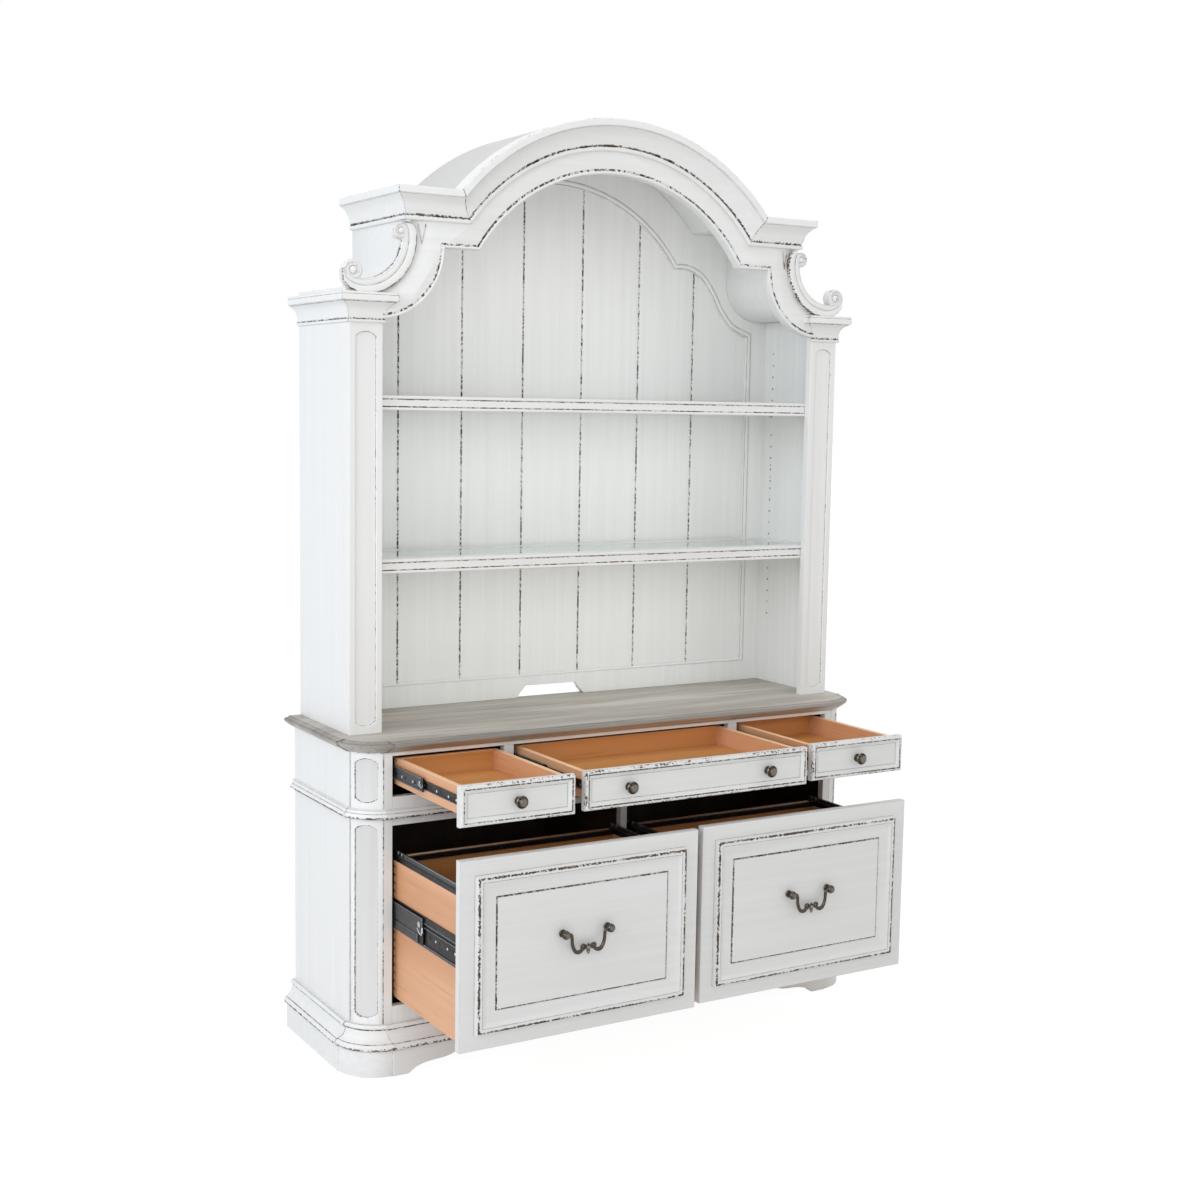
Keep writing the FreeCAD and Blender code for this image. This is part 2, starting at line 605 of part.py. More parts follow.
def make_plinth():
    """Skirt boards, lobed corner blocks and the front apron with its bracket feet."""
    reach, tall, spare = D.plinth_reach.number, D.plinth_tall.number, D.overrun.number
    ring = lobed_prism(reach, 0, tall).cut(lobed_prism(0, -spare, tall + spare, D.corner_ease.number))
    far = (D.case_half_width + D.plinth_reach + D.overrun).number
    front = -(D.case_depth + D.plinth_reach + D.overrun).number
    start = -(cant_side.number - LOBE_SPREAD_SHARE * reach)
    end = cant_front.number - LOBE_SPREAD_SHARE * reach
    up = (-spare, tall + spare)
    side = ring.common(box_shape((-far, 0), (start, spare), up))
    corner = ring.common(box_shape((-far, -end), (front, start), up))
    apron = ring.common(box_shape((-end, end), (front, 0), up)).cut(apron_cut())
    left_skirt, left_block = shaped("left_skirt", side), shaped("left_corner_block", corner)
    back = board("back_rail", (-case_inner, case_inner), (-D.plinth_back_thick, ZERO), (ZERO, D.plinth_tall))
    group("plinth_skirt", [left_skirt, mirrored("right_skirt", left_skirt), back,
                           left_block, mirrored("right_corner_block", left_block)])
    keep("plinth_apron", shaped("plinth_apron", apron))


def slide_plate(x, y, middle, tall):
    """One slide member: a plate with rounded ends' holes along its length."""
    plate = box_shape(x, y, (middle - tall / 2, middle + tall / 2))
    radius, spare = D.slide_hole.number, D.overrun.number
    for share in SLIDE_HOLE_SHARES:
        centre = vector(x[0] - spare, y[0] + share * (y[1] - y[0]), middle)
        plate = plate.cut(Part.makeCylinder(radius, x[1] - x[0] + spare * 2, centre, vector(1, 0, 0)))
    return plate


def slide_set(name, guides, opened, middle, tall, height_shares):
    """Fixed, middle and drawer members as long as the box, on both sides of one drawer."""
    plate, clear = D.slide_plate.number, D.slide_clear.number
    front = -(frame_back - D.slide_setback).number
    shifts = {"fixed": 0.0, "middle": opened / 2, "drawer": opened}
    members = {}
    for order, kind in enumerate(SLIDE_MEMBERS):
        inset = order * (plate + clear)
        height = tall * height_shares[order]
        y = (front - shifts[kind], front - shifts[kind] + box_length.number)
        left = slide_plate((guides[0] + inset, guides[0] + inset + plate), y, middle, height)
        right = slide_plate((guides[1] - inset - plate, guides[1] - inset), y, middle, height)
        members[kind] = [shaped("%s_%s_slide_left" % (name, kind), left),
                         shaped("%s_%s_slide_right" % (name, kind), right)]
    return members


def moulded_front(label, guides, opened, low, high, steps):
    """A drawer front: a slab and the raised or sunk rectangles that steps lists."""
    half_width = (guides[1] - guides[0]) / 2 - D.front_gap
    half_height = (high - low) / 2 - D.front_gap
    body = new_body(label, (guides[0] + guides[1]) / 2, -frame_back - opened, (low + high) / 2)
    slab = body.newObject("PartDesign::Pad", label + "_slab")
    slab.Profile = rectangle(body, label + "_outline", half_width, half_height)
    slab.setExpression("Length", steps[0][1].text)
    for number, (kind, first_lift, first_inset, second_lift, second_inset) in enumerate(steps[1:]):
        name = "%s_step_%d" % (label, number)
        ends = []
        for end, inset, lift in (("_from", first_inset, first_lift), ("_to", second_inset, second_lift)):
            ends.append(rectangle(body, name + end, half_width - inset, half_height - inset, lift))
        loft_between(body, kind, name, ends[0], ends[1])
    return keep(label, body)


def pencil_steps():
    """Raised edge and sunk field of a pencil drawer front."""
    shoulder = D.front_thick - D.pencil_bevel
    face = D.front_thick
    return [("slab", shoulder),
            ("AdditiveLoft", shoulder, ZERO, face, D.pencil_bevel),
            ("SubtractiveLoft", face, D.pencil_crest, face - D.pencil_sink, D.pencil_field)]


def file_steps():
    """Border, moulding, inner slope and middle panel of a file drawer front."""
    face = D.front_thick
    crest = face + D.file_raise
    foot = face + D.file_field_raise
    crest_start = D.file_border + D.file_rise_run
    crest_end = crest_start + D.file_crest
    slope_end = crest_end + D.file_fall_run
    panel = slope_end + D.file_panel_gap
    return [("slab", face),
            ("AdditiveLoft", face, D.file_border, crest, crest_start),
            ("SubtractiveLoft", crest, crest_end, foot, slope_end),
            ("AdditiveLoft", foot, panel, foot + D.file_panel_raise, panel + D.file_panel_raise)]


def drawer_box(label, guides, opened, low, high):
    """Two sides, a back and a bottom, as separate boards."""
    left, right = guides[0] + slide_space, guides[1] - slide_space
    wall = D.drawer_wall
    front = -frame_back - opened
    back = front + box_length
    bottom = low + D.drawer_bottom_rise
    inner = (left + wall, right - wall)
    return group(label, [
        board(label + "_left", (left, left + wall), (front, back), (low, high)),
        board(label + "_right", (right - wall, right), (front, back), (low, high)),
        board(label + "_back", inner, (back - wall, back), (low, high)),
        board(label + "_bottom", inner, (front, back - wall), (bottom, bottom + D.drawer_bottom)),
    ])


def turned_body(name, x, y, z, radius, length, shares):
    """A turned piece that stands out to the front, from shares of its radius and length."""
    body = new_body(name, x, y, z)
    points = [(radius * out, -(length * along)) for out, along in shares]
    axis_start, axis_end = radius * 0.0, -length
    points += [(axis_start, axis_end), (axis_start, length * 0.0)]
    sketch = outline_sketch(body, name + "_profile", "XY_Plane", points)
    turn = body.newObject("PartDesign::Revolution", name + "_turn")
    turn.Profile = sketch
    turn.ReferenceAxis = (sketch, ["V_Axis"])
    turn.Angle = FULL_TURN
    return body


def rounded_path(points, radius):
    """Straight runs joined by tangent arcs, as one wire."""
    edges = []
    last = points[0]
    for before, corner, after in zip(points, points[1:], points[2:]):
        back, onward = before.sub(corner).normalize(), after.sub(corner).normalize()
        half_turn = back.getAngle(onward) / 2
        run = radius / math.tan(half_turn)
        start, end = corner + back * run, corner + onward * run
        inward = (back + onward).normalize()
        middle = corner + inward * (radius / math.sin(half_turn) - radius)
        edges += [Part.makeLine(last, start), Part.Arc(start, middle, end).toShape()]
        last = end
    edges.append(Part.makeLine(last, points[-1]))
    return Part.Wire(edges)


def make_pull(name, middle, opened):
    """Two posts on the front and a bail whose pins turn in them."""
    field = -(frame_back + D.front_thick + D.file_field_raise + D.file_panel_raise + opened).number
    height = ((D.file_opening_low + file_opening_high) / 2 + D.pull_above_middle).number
    ball_y = field - D.post_reach.number
    half = D.pull_spacing.number / 2
    rod, ball = D.bail_radius.number, D.post_ball_radius.number
    outward = vector(0, -1, 0)
    posts = []
    for number, side in enumerate((-1, 1)):
        x = middle.number + side * half
        seat = vector(x, field, height)
        foot = Part.makeCylinder(D.post_foot_radius.number, D.post_foot_thick.number, seat, outward)
        neck = Part.makeCylinder(D.post_neck_radius.number, D.post_reach.number, seat, outward)
        post = foot.fuse([neck, Part.makeSphere(ball, vector(x, ball_y, height))]).removeSplitter()
        bore_start = x - side * (ball + D.overrun.number)
        bore_length = D.overrun.number + D.bail_pin_depth.number + D.bail_clear.number
        bore = Part.makeCylinder(rod + D.bail_clear.number, bore_length, vector(bore_start, ball_y, height),
                                 vector(side, 0, 0))
        posts.append(shaped("%s_post_%d" % (name, number), post.cut(bore)))
    group(name + "_pull_posts", posts)
    pin_end = half - ball + D.bail_pin_depth.number
    drop, bend = D.bail_drop.number, D.bail_bend.number
    elbow = half - ball - bend

    def spot(across, up):
        return vector(middle.number + across, ball_y, height + up)

    arm = [(-pin_end, 0.0), (-elbow, 0.0)] + [(-out * elbow, -up * drop) for out, up in BAIL_SHARES]
    points = [spot(across, up) for across, up in arm + [(-across, up) for across, up in reversed(arm)]]
    ring = Part.Wire(Part.makeCircle(rod, points[0], vector(1, 0, 0)))
    bail = rounded_path(points, bend).makePipeShell([ring], True, False)
    girth = D.bail_boss.number
    profile = [spot(out * girth, -up * drop) for out, up in ORNAMENT_SHARES]
    profile += [spot(0, -ORNAMENT_SHARES[-1][1] * drop), spot(0, -ORNAMENT_SHARES[0][1] * drop)]
    section = Part.Face(Part.makePolygon(profile + profile[:1]))
    ornament = section.revolve(spot(0, 0), vector(0, 0, 1), FULL_TURN)
    leaf_x, leaf_z = LEAF_SHARES[0] * elbow, -LEAF_SHARES[1] * drop
    leaves = [Part.makeSphere(rod, spot(side * leaf_x, leaf_z)) for side in (-1, 1)]
    keep(name + "_bail", shaped(name + "_bail", bail.fuse([ornament] + leaves).removeSplitter()))
    print("%s bail turns about y %.2f z %.2f" % (name, ball_y, height))


def make_drawers():
    """Three pencil drawers and two file drawers with their slides and pulls."""
    muntin = D.muntin_width / 2
    half = D.case_board / 2
    wide = opening_half_width
    pencils = (
        ("left_pencil", (-wide, -muntin_middle - muntin), left_pencil_open, (ZERO,)),
        ("middle_pencil", (-muntin_middle + muntin, muntin_middle - muntin), middle_pencil_open,
         (-middle_knob_offset, middle_knob_offset)),
        ("right_pencil", (muntin_middle + muntin, wide), right_pencil_open, (ZERO,)),
    )
    files = (
        ("left_file", (-wide, -half), left_file_open),
        ("right_file", (half, wide), right_file_open),
    )
    fixed = []
    for name, guides, opened, knobs in pencils:
        moulded_front(name + "_front", guides, opened, top_opening_low, top_opening_high, pencil_steps())
        drawer_box(name + "_box", guides, opened, pencil_box_low, pencil_box_high)
        middle = (guides[0] + guides[1]) / 2
        height = (top_opening_low + top_opening_high) / 2
        face = -(frame_back + D.front_thick - D.pencil_sink) - opened
        group(name + "_knobs", [
            turned_body("%s_knob_%d" % (name, number), middle + shift, face, height,
                        D.knob_radius, D.knob_length, KNOB_SHARES)
            for number, shift in enumerate(knobs)])
        members = slide_set(name, (guides[0].number, guides[1].number), opened.number,
                            pencil_slide_mid.number, D.pencil_slide_tall.number, PENCIL_SLIDE_SHARES)
        fixed += members["fixed"]
        group(name + "_middle_slides", members["middle"])
        group(name + "_drawer_slides", members["drawer"])
    for name, guides, opened in files:
        moulded_front(name + "_front", guides, opened, D.file_opening_low, file_opening_high, file_steps())
        drawer_box(name + "_box", guides, opened, file_box_low, file_box_high)
        make_hanging_rails(name, guides, opened)
        make_pull(name, (guides[0] + guides[1]) / 2, opened)
        members = slide_set(name, (guides[0].number, guides[1].number), opened.number,
                            file_slide_mid.number, D.file_slide_tall.number, FILE_SLIDE_SHARES)
        fixed += members["fixed"]
        group(name + "_middle_slides", members["middle"])
        group(name + "_drawer_slides", members["drawer"])
    group("fixed_slides", fixed)
    cleats = []
    depth = (-frame_back, -D.back_board)
    for name, middle, tall in (("pencil", pencil_slide_mid, D.pencil_slide_tall),
                               ("file", file_slide_mid, D.file_slide_tall)):
        for side, x in (("left", (-cant_front, -wide)), ("right", (wide, cant_front))):
            z = (middle - tall / 2, middle + tall / 2)
            cleats.append(board("%s_%s_cleat" % (side, name), x, depth, z))
    group("slide_cleats", cleats)


def make_hanging_rails(name, guides, opened):
    """Rails on the box sides and two cross rails that the file folders hang on."""
    left, right = guides[0] + slide_space, guides[1] - slide_space
    wall, high = D.drawer_wall, file_box_high
    front = -frame_back - opened
    back = front + box_length
    rise, cross = high + D.hang_rail_tall, high + D.cross_rail_rise
    rails = [
        board(name + "_left_rail", (left, left + wall), (front, back), (high, rise)),
        board(name + "_right_rail", (right - wall, right), (front, back), (high, rise)),
    ]
    for number, start in enumerate((front + D.hang_rail_gap, back - D.hang_rail_gap - D.hang_rail_thick)):
        rails.append(board("%s_cross_rail_%d" % (name, number), (left + wall, right - wall),
                           (start, start + D.hang_rail_thick), (cross - D.hang_rail_tall, cross)))
    group(name + "_hanging_rails", rails)


def front_point(depth):
    """A function that puts a point across and up on the upright plane at that depth."""
    def place(across, up):
        return vector(across, -depth, up)
    return place


def arc_start(radius, level):
    """How far from the middle an arc of the crown crosses a level."""
    return math.sqrt(radius ** 2 - (level - arch_height.number) ** 2)


def arch_edge(radius, level, place):
    """An arc of the crown from left to right between its two crossings of a level."""
    reach = arc_start(radius, level)
    high = arch_height.number + radius
    return Part.Arc(place(-reach, level), place(0, high), place(reach, level)).toShape()


def closed_face(edges):
    return Part.Face(Part.Wire(Part.__sortEdges__(edges)))


def both_sides(runs):
    """The edges of a left-hand outline and their mirror images."""
    twins = [edge.mirror(vector(0, 0, 0), vector(1, 0, 0)) for edge in runs]
    return runs + twins


def lines(points):
    return [Part.makeLine(first, second) for first, second in zip(points, points[1:])]


def shoulder_arc(place, radius):
    """The quarter of the left shoulder's cove with that radius, from its foot to its upright."""
    x, z = -shoulder_middle.number, shoulder_height.number
    slant = radius * math.sqrt(0.5)
    return Part.Arc(place(x, z - radius), place(x + slant, z - slant), place(x + radius, z)).toShape()


def scroll_spot(share, degrees):
    """A place on the left scroll's back, at a share of its radius."""
    turn, reach = math.radians(degrees), share * D.scroll_radius.number
    return vector(-scroll_middle.number + reach * math.cos(turn), -pilaster_back.number,
                  scroll_height.number + reach * math.sin(turn))


def scroll_band(first, second, thick):
    """The part of the left scroll between two of its lines."""
    runs = []
    for column in (first, second):
        curve = Part.BSplineCurve()
        curve.interpolate([scroll_spot(row[column], row[0]) for row in SCROLL_SHARES])
        runs.append(curve.toShape())
    for row in (SCROLL_SHARES[0], SCROLL_SHARES[-1]):
        runs.append(Part.makeLine(scroll_spot(row[first], row[0]), scroll_spot(row[second], row[0])))
    return closed_face(runs).extrude(vector(0, -thick, 0))


def volute(number, radius, thick):
    degrees, share, size = VOLUTE_SHARES[number]
    return Part.makeCylinder(size * radius, thick, scroll_spot(share, degrees), vector(0, -1, 0))


def on_capital(scroll, thick):
    """A scroll cut flat where it stands on the capital."""
    x, radius, spare = -scroll_middle.number, D.scroll_radius.number, D.overrun.number
    y, foot = -pilaster_back.number, capital_high.number
    below = box_shape((x - radius, x + radius), (y - thick - spare, y + spare), (foot - radius, foot))
    return scroll.cut(below)


def scroll_blank():
    """The whole left scroll as a plain block, which the fascia is cut around."""
    thick = (fascia_front - pilaster_back).number
    ends = [volute(number, D.volute_radius.number, thick) for number in (0, 1)]
    return on_capital(scroll_band(1, 3, thick).fuse(ends).removeSplitter(), thick)


def spandrel_fall():
    """The rounded corner that the left spandrel loses beside the scroll, from the capital to the crown."""
    front, spare = fascia_front.number, D.overrun.number
    radius, wide = D.scroll_radius.number, D.spandrel_fall_wide.number
    x, z, fall = -scroll_middle.number, scroll_height.number, D.spandrel_fall.number
    spots = [vector(x - radius - across * wide, back * fall - front, z) for across, back in FALL_SHARES]
    near, far = spots[0], spots[-1]
    runs = [Part.Arc(*spots).toShape()]
    runs += lines([far, vector(far.x, -front - spare, z), vector(near.x, -front - spare, z), near])
    ring = closed_face(runs).revolve(vector(x, 0, z), vector(0, 1, 0), FULL_TURN)
    reach = radius + wide + spare
    level = box_shape((x, x + reach), (-front - spare * 2, fall), (capital_high.number, crown_ledge.number))
    return ring.common(level)


def make_fascia():
    """The arched board across the front, with ledges and rounded spandrels."""
    place = front_point(fascia_front.number)
    inner, ledge = pilaster_inner.number, opening_ledge.number
    radius = D.spandrel_radius.number
    reach = arc_start(opening_arch.number, ledge)
    foot_rise = radius * math.sqrt(0.5)
    centre_x = -spandrel_middle.number
    foot = ledge - math.sqrt(radius ** 2 - (centre_x + inner) ** 2)
    spandrel = Part.Arc(place(-inner, foot), place(centre_x + foot_rise, ledge - foot_rise),
                        place(centre_x + radius, ledge)).toShape()
    upright = -upper_half.number
    top_reach = arc_start(roof_radius.number, crown_high.number)
    left = [spandrel, Part.makeLine(place(centre_x + radius, ledge), place(-reach, ledge))]
    capital, shoulder = capital_high.number, shoulder_top.number
    left += lines([place(-inner, foot), place(-inner, capital), place(-shoulder_middle.number, capital),
                   place(-shoulder_middle.number, shoulder)])
    left.append(shoulder_arc(place, D.shoulder_cove.number))
    left += lines([place(upright, shoulder_height.number), place(upright, crown_high.number),
                   place(-top_reach, crown_high.number)])
    edges = both_sides(left)
    edges.append(arch_edge(opening_arch.number, ledge, place))
    edges.append(arch_edge(roof_radius.number, crown_high.number, place))
    fascia = closed_face(edges).extrude(vector(0, (fascia_front - pilaster_back).number, 0))
    for cut in (scroll_blank(), spandrel_fall()):
        fascia = fascia.cut(cut).cut(cut.mirror(vector(0, 0, 0), vector(1, 0, 0)))
    keep("arched_fascia", shaped("arched_fascia", fascia))


def make_crown():
    """Bead, cove and fillet that follow the ledges and the arch and return along the sides."""
    reach, tall, low = D.crown_reach.number, D.crown_tall.number, crown_ledge.number
    half, front, spare = upper_half.number, fascia_front.number, D.overrun.number
    centre, radius = arch_height.number, crown_arch.number
    high = centre + roof_radius.number + spare
    wires = []
    for out, up in CROWN_SHARES + ((CROWN_SHARES[-1][0], (high - low) / tall),):
        x, y, z = half + out * reach, front + out * reach, low + up * tall
        corners = [vector(-x, -y, z), vector(x, -y, z), vector(x, 0, z), vector(-x, 0, z)]
        wires.append(Part.makePolygon(corners + corners[:1]))
    level_solid = Part.makeLoft(wires, True, True)
    far = math.hypot(half + reach, high - centre) + spare
    profile = [vector(radius + up * tall, -(front + out * reach), centre) for out, up in CROWN_SHARES]
    profile += [vector(far, -(front + reach), centre), vector(far, spare, centre)]
    profile.append(vector(radius, spare, centre))
    ring = Part.Face(Part.makePolygon(profile + profile[:1]))
    arch_solid = ring.revolve(vector(0, 0, centre), vector(0, 1, 0), FULL_TURN)
    disc = Part.makeCylinder(roof_radius.number, front + reach + spare * 2,
                             vector(0, -(front + reach + spare), centre), vector(0, 1, 0))
    below = box_shape((-far, far), (-(front + reach + spare), spare), (low - spare, crown_high.number))
    behind = box_shape((-half, half), (-front, spare), (low - spare, high + spare))
    crown = level_solid.common(arch_solid).common(disc.fuse(below)).cut(behind)
    keep("crown_moulding", shaped("crown_moulding", crown))


def make_roof_and_shoulders():
    """Vaulted roof with its two flats, and the coved panels under them."""
    place = front_point(pilaster_back.number)
    back = vector(0, pilaster_back.number, 0)
    cove = D.shoulder_cove.number
    outer = -upper_half.number
    inner = outer + D.hutch_board.number
    under_radius = roof_radius.number - D.hutch_board.number
    high, under = crown_high.number, roof_under.number
    left = lines([place(-arc_start(roof_radius.number, high), high), place(outer, high), place(outer, under),
                  place(-arc_start(under_radius, under), under)])
    edges = both_sides(left)
    edges += [arch_edge(roof_radius.number, high, place), arch_edge(under_radius, under, place)]
    keep("vault_roof", shaped("vault_roof", closed_face(edges).extrude(back)))
    foot_x, middle = -hutch_half_width.number, -shoulder_middle.number
    low, top, turn = shoulder_low.number, shoulder_top.number, shoulder_height.number
    wall = [shoulder_arc(place, cove), shoulder_arc(place, cove + D.hutch_board.number)]
    wall += lines([place(middle, top), place(foot_x, top), place(foot_x, low), place(middle, low)])
    wall += lines([place(outer, turn), place(outer, under), place(inner, under), place(inner, turn)])
    shoulder = shaped("left_shoulder", closed_face(wall).extrude(back))
    group("shoulder_panels", [shoulder, mirrored("right_shoulder", shoulder)])


def make_scrolls():
    """C-scrolls beside the fascia: a stepped band that narrows into a volute at each end."""
    thick, step = (fascia_front - pilaster_back).number, D.scroll_step.number
    pieces = [scroll_band(2, 3, thick - step)]
    for number in (0, 1):
        pieces.append(volute(number, D.volute_radius.number, thick))
        pieces.append(volute(number, D.volute_eye.number, thick + step))
    scroll = on_capital(scroll_band(1, 2, thick).fuse(pieces).removeSplitter(), thick + step)
    left = shaped("left_scroll", scroll)
    group("c_scrolls", [left, mirrored("right_scroll", left)])


def make_pilasters():
    """Pilasters with a long sunk panel, and the hutch's side panels behind them."""
    for label, x in (("hutch_left_side", (-hutch_half_width, -hutch_inner)),
                     ("hutch_right_side", (hutch_inner, hutch_half_width))):
        keep(label, board(label, x, (-pilaster_back, ZERO), (D.top_height, shoulder_low)))
    middle = -(hutch_half_width - D.pilaster_width / 2).number
    front = pilaster_front.number
    margin = D.pilaster_panel_margin.number
    plain = board("plain_pilaster", (-hutch_half_width, -pilaster_inner),
                  (-pilaster_front, -pilaster_back), (D.top_height, capital_high))
    spare = D.overrun.number
    panel = lozenge_wire(middle, D.pilaster_panel_width.number / 2, D.top_height.number + margin,
                         capital_low.number - margin, D.panel_crown.number, front_point(front + spare))
    sunk = shaped("pilaster_sinking", Part.Face(panel).extrude(vector(0, D.sunk_depth.number + spare, 0)))
    pilaster = doc.addObject("Part::Cut", "left_pilaster")
    pilaster.Base = plain
    pilaster.Tool = sunk
    keep("left_pilaster", pilaster)
    keep("right_pilaster", mirrored("right_pilaster", pilaster))


def make_capitals():
    """Mouldings around the tops of the pilasters, returning along the sides to the back."""
    reach, low, tall = D.capital_reach.number, capital_low.number, D.capital_tall.number
    outer, inner = hutch_half_width.number, pilaster_inner.number
    front, spare = pilaster_front.number, D.overrun.number
    wires = []
    for out, up in CAPITAL_SHARES:
        grow, z = out * reach, low + up * tall
        corners = [vector(-outer - grow, -front - grow, z), vector(-inner + grow, -front - grow, z),
                   vector(-inner + grow, 0, z), vector(-outer - grow, 0, z)]
        wires.append(Part.makePolygon(corners + corners[:1]))
    block = Part.makeLoft(wires, True, True)
    up = (low - spare, low + tall + spare)
    block = block.cut(box_shape((-outer, 0), (-front, spare), up))
    block = block.cut(box_shape((-inner, 0), (-fascia_front.number, spare), up))
    left = shaped("left_capital", block)
    group("capitals", [left, mirrored("right_capital", left)])


def back_outline(place):
    """The inside of the hutch seen from the front, as a face."""
    cove = (D.shoulder_cove + D.hutch_board).number
    upright = -(upper_half - D.hutch_board).number
    under_radius = roof_radius.number - D.hutch_board.number
    under, low = roof_under.number, D.top_height.number
    inner, shoulder = -hutch_inner.number, shoulder_low.number
    left = lines([place(0, low), place(inner, low), place(inner, shoulder),
                  place(-shoulder_middle.number, shoulder)])
    left.append(shoulder_arc(place, cove))
    left += lines([place(upright, shoulder_height.number), place(upright, under),
                   place(-arc_start(under_radius, under), under)])
    return closed_face(both_sides(left) + [arch_edge(under_radius, under, place)])


def make_back():
    """Planks with bevelled joints, and the frame in front of them with its cable notch."""
    spare = D.overrun.number
    thick, width, bevel = D.back_board.number, D.plank_width.number, D.plank_bevel.number
    limit = back_outline(front_point(thick)).extrude(vector(0, thick, 0))
    low, high = D.top_height.number, arch_height.number + roof_radius.number
    planks = []
    pairs = math.floor((hutch_inner.number - width / 2) / width)
    joints = [(number + 0.5) * width for number in range(-pairs, pairs)]
    ends = [-hutch_inner.number] + joints + [hutch_inner.number]
    for number, (left, right) in enumerate(zip(ends, ends[1:])):
        corners = [vector(left, 0, low), vector(left, bevel - thick, low),
                   vector(left + bevel, -thick, low), vector(right - bevel, -thick, low),
                   vector(right, bevel - thick, low), vector(right, 0, low)]
        plank = Part.Face(Part.makePolygon(corners + corners[:1])).extrude(vector(0, 0, high - low))
        planks.append(shaped("plank_%d" % number, plank.common(limit)))
    group("back_planks", planks)

    place = front_point(back_front.number)
    forward = vector(0, D.back_frame_thick.number, 0)
    stile = (hutch_inner - D.back_stile_width).number
    ledge = arch_height.number + math.sqrt(back_arch.number ** 2 - back_cusp.number ** 2)
    fall, run = ledge - back_ogee_low.number, stile - back_cusp.number
    rail_high = low + D.back_rail_tall.number
    half, taper, tall = D.notch_half_width.number, D.notch_taper.number, D.notch_tall.number
    ogee = [place(-back_cusp.number, ledge)]
    ogee += [place(-back_cusp.number - along * run, back_ogee_low.number + up * fall)
             for along, up in BACK_OGEE_SHARES]
    ogee.append(place(-stile, back_ogee_low.number))
    curve = Part.BSplineCurve()
    curve.interpolate(ogee)
    left = [curve.toShape()]
    left += lines([place(-stile, back_ogee_low.number), place(-stile, rail_high), place(0, rail_high)])
    hole_edges = both_sides(left) + [arch_edge(back_arch.number, ledge, place)]
    hole = closed_face(hole_edges).extrude(forward * 2).translated(forward * -0.5)
    notch = Part.makePolygon([place(-half, low - spare), place(-half, low), place(taper - half, low + tall),
                              place(half - taper, low + tall), place(half, low), place(half, low - spare),
                              place(-half, low - spare)])
    notch_cut = Part.Face(notch).extrude(vector(0, (back_front + D.overrun).number, 0))
    frame = back_outline(place).extrude(forward).cut(hole)
    depth = (-back_front.number - spare, 0)
    rail_zone = box_shape((-stile, stile), depth, (low - spare, rail_high + spare))
    upper = frame.cut(rail_zone)
    rail = frame.common(rail_zone).cut(notch_cut)
    bridge = half - taper
    up = (low - spare, rail_high + spare)
    rail_parts = [shaped("back_rail_" + name, rail.common(box_shape(x, depth, up))) for name, x in
                  (("left", (-stile, -bridge)), ("bridge", (-bridge, bridge)), ("right", (bridge, stile)))]
    split, far = back_ogee_low.number, hutch_inner.number + spare
    stiles = upper.common(box_shape((-far, far), depth, (low - spare, split)))
    arch = upper.common(box_shape((-far, far), depth, (split, high + spare)))
    group("hutch_back_frame", rail_parts + [shaped("back_stiles", stiles), shaped("back_arch_rail", arch)])
    plank_cut = notch_cut.fuse(box_shape((-width / 2, width / 2), depth, (low - spare, low + tall)))
    for plank in planks:
        plank.Shape = plank.Shape.cut(plank_cut)


def make_shelves():
    """Two shelves, each a rabbeted frame with a glass insert, on four pins."""
    frames, glasses, pins = [], [], []
    front, back = -pilaster_back, -back_front
    lap, clear = D.glass_lap, D.glass_clear
    inner = hutch_inner - D.shelf_end
    for name, high in (("lower_shelf", lower_shelf), ("upper_shelf", upper_shelf)):
        z = (high - D.shelf_thick, high)
        rails = doc.addObject("Part::Compound", name + "_rails")
        rails.Links = [
            board(name + "_front_rail", (-hutch_inner, hutch_inner), (front, front + D.shelf_rail), z),
            board(name + "_back_rail", (-hutch_inner, hutch_inner), (back - D.shelf_rail, back), z),
            board(name + "_left_end", (-hutch_inner, -inner), (front + D.shelf_rail, back - D.shelf_rail), z),
            board(name + "_right_end", (inner, hutch_inner), (front + D.shelf_rail, back - D.shelf_rail), z),
        ]
        x = (-inner - lap, inner + lap)
        y = (front + D.shelf_rail - lap, back - D.shelf_rail + lap)
        glass_z = (high - D.glass_thick, high)
        rabbet = board(name + "_rabbet", (x[0] - clear, x[1] + clear), (y[0] - clear, y[1] + clear),
                       (glass_z[0], high + D.overrun))
        frame = doc.addObject("Part::Cut", name + "_frame")
        frame.Base = rails
        frame.Tool = rabbet
        frames.append(frame)
        glasses.append(board(name + "_glass", x, y, glass_z))
        for depth in (front + D.pin_inset, back - D.pin_inset):
            for side in (-1, 1):
                pin = doc.addObject("Part::Cylinder", "shelf_pin")
                pin.setExpression("Radius", D.pin_radius.text)
                pin.setExpression("Height", D.pin_length.text)
                pin.Placement.Rotation = FreeCAD.Rotation(vector(0, 1, 0), -90 * side)
                pin.setExpression("Placement.Base.x", (hutch_inner * side).text)
                pin.setExpression("Placement.Base.y", depth.text)
                pin.setExpression("Placement.Base.z", (z[0] - D.pin_radius).text)
                pins.append(pin)
    group("shelf_frames", frames)
    group("shelf_glasses", glasses)
    group("shelf_pins", pins)


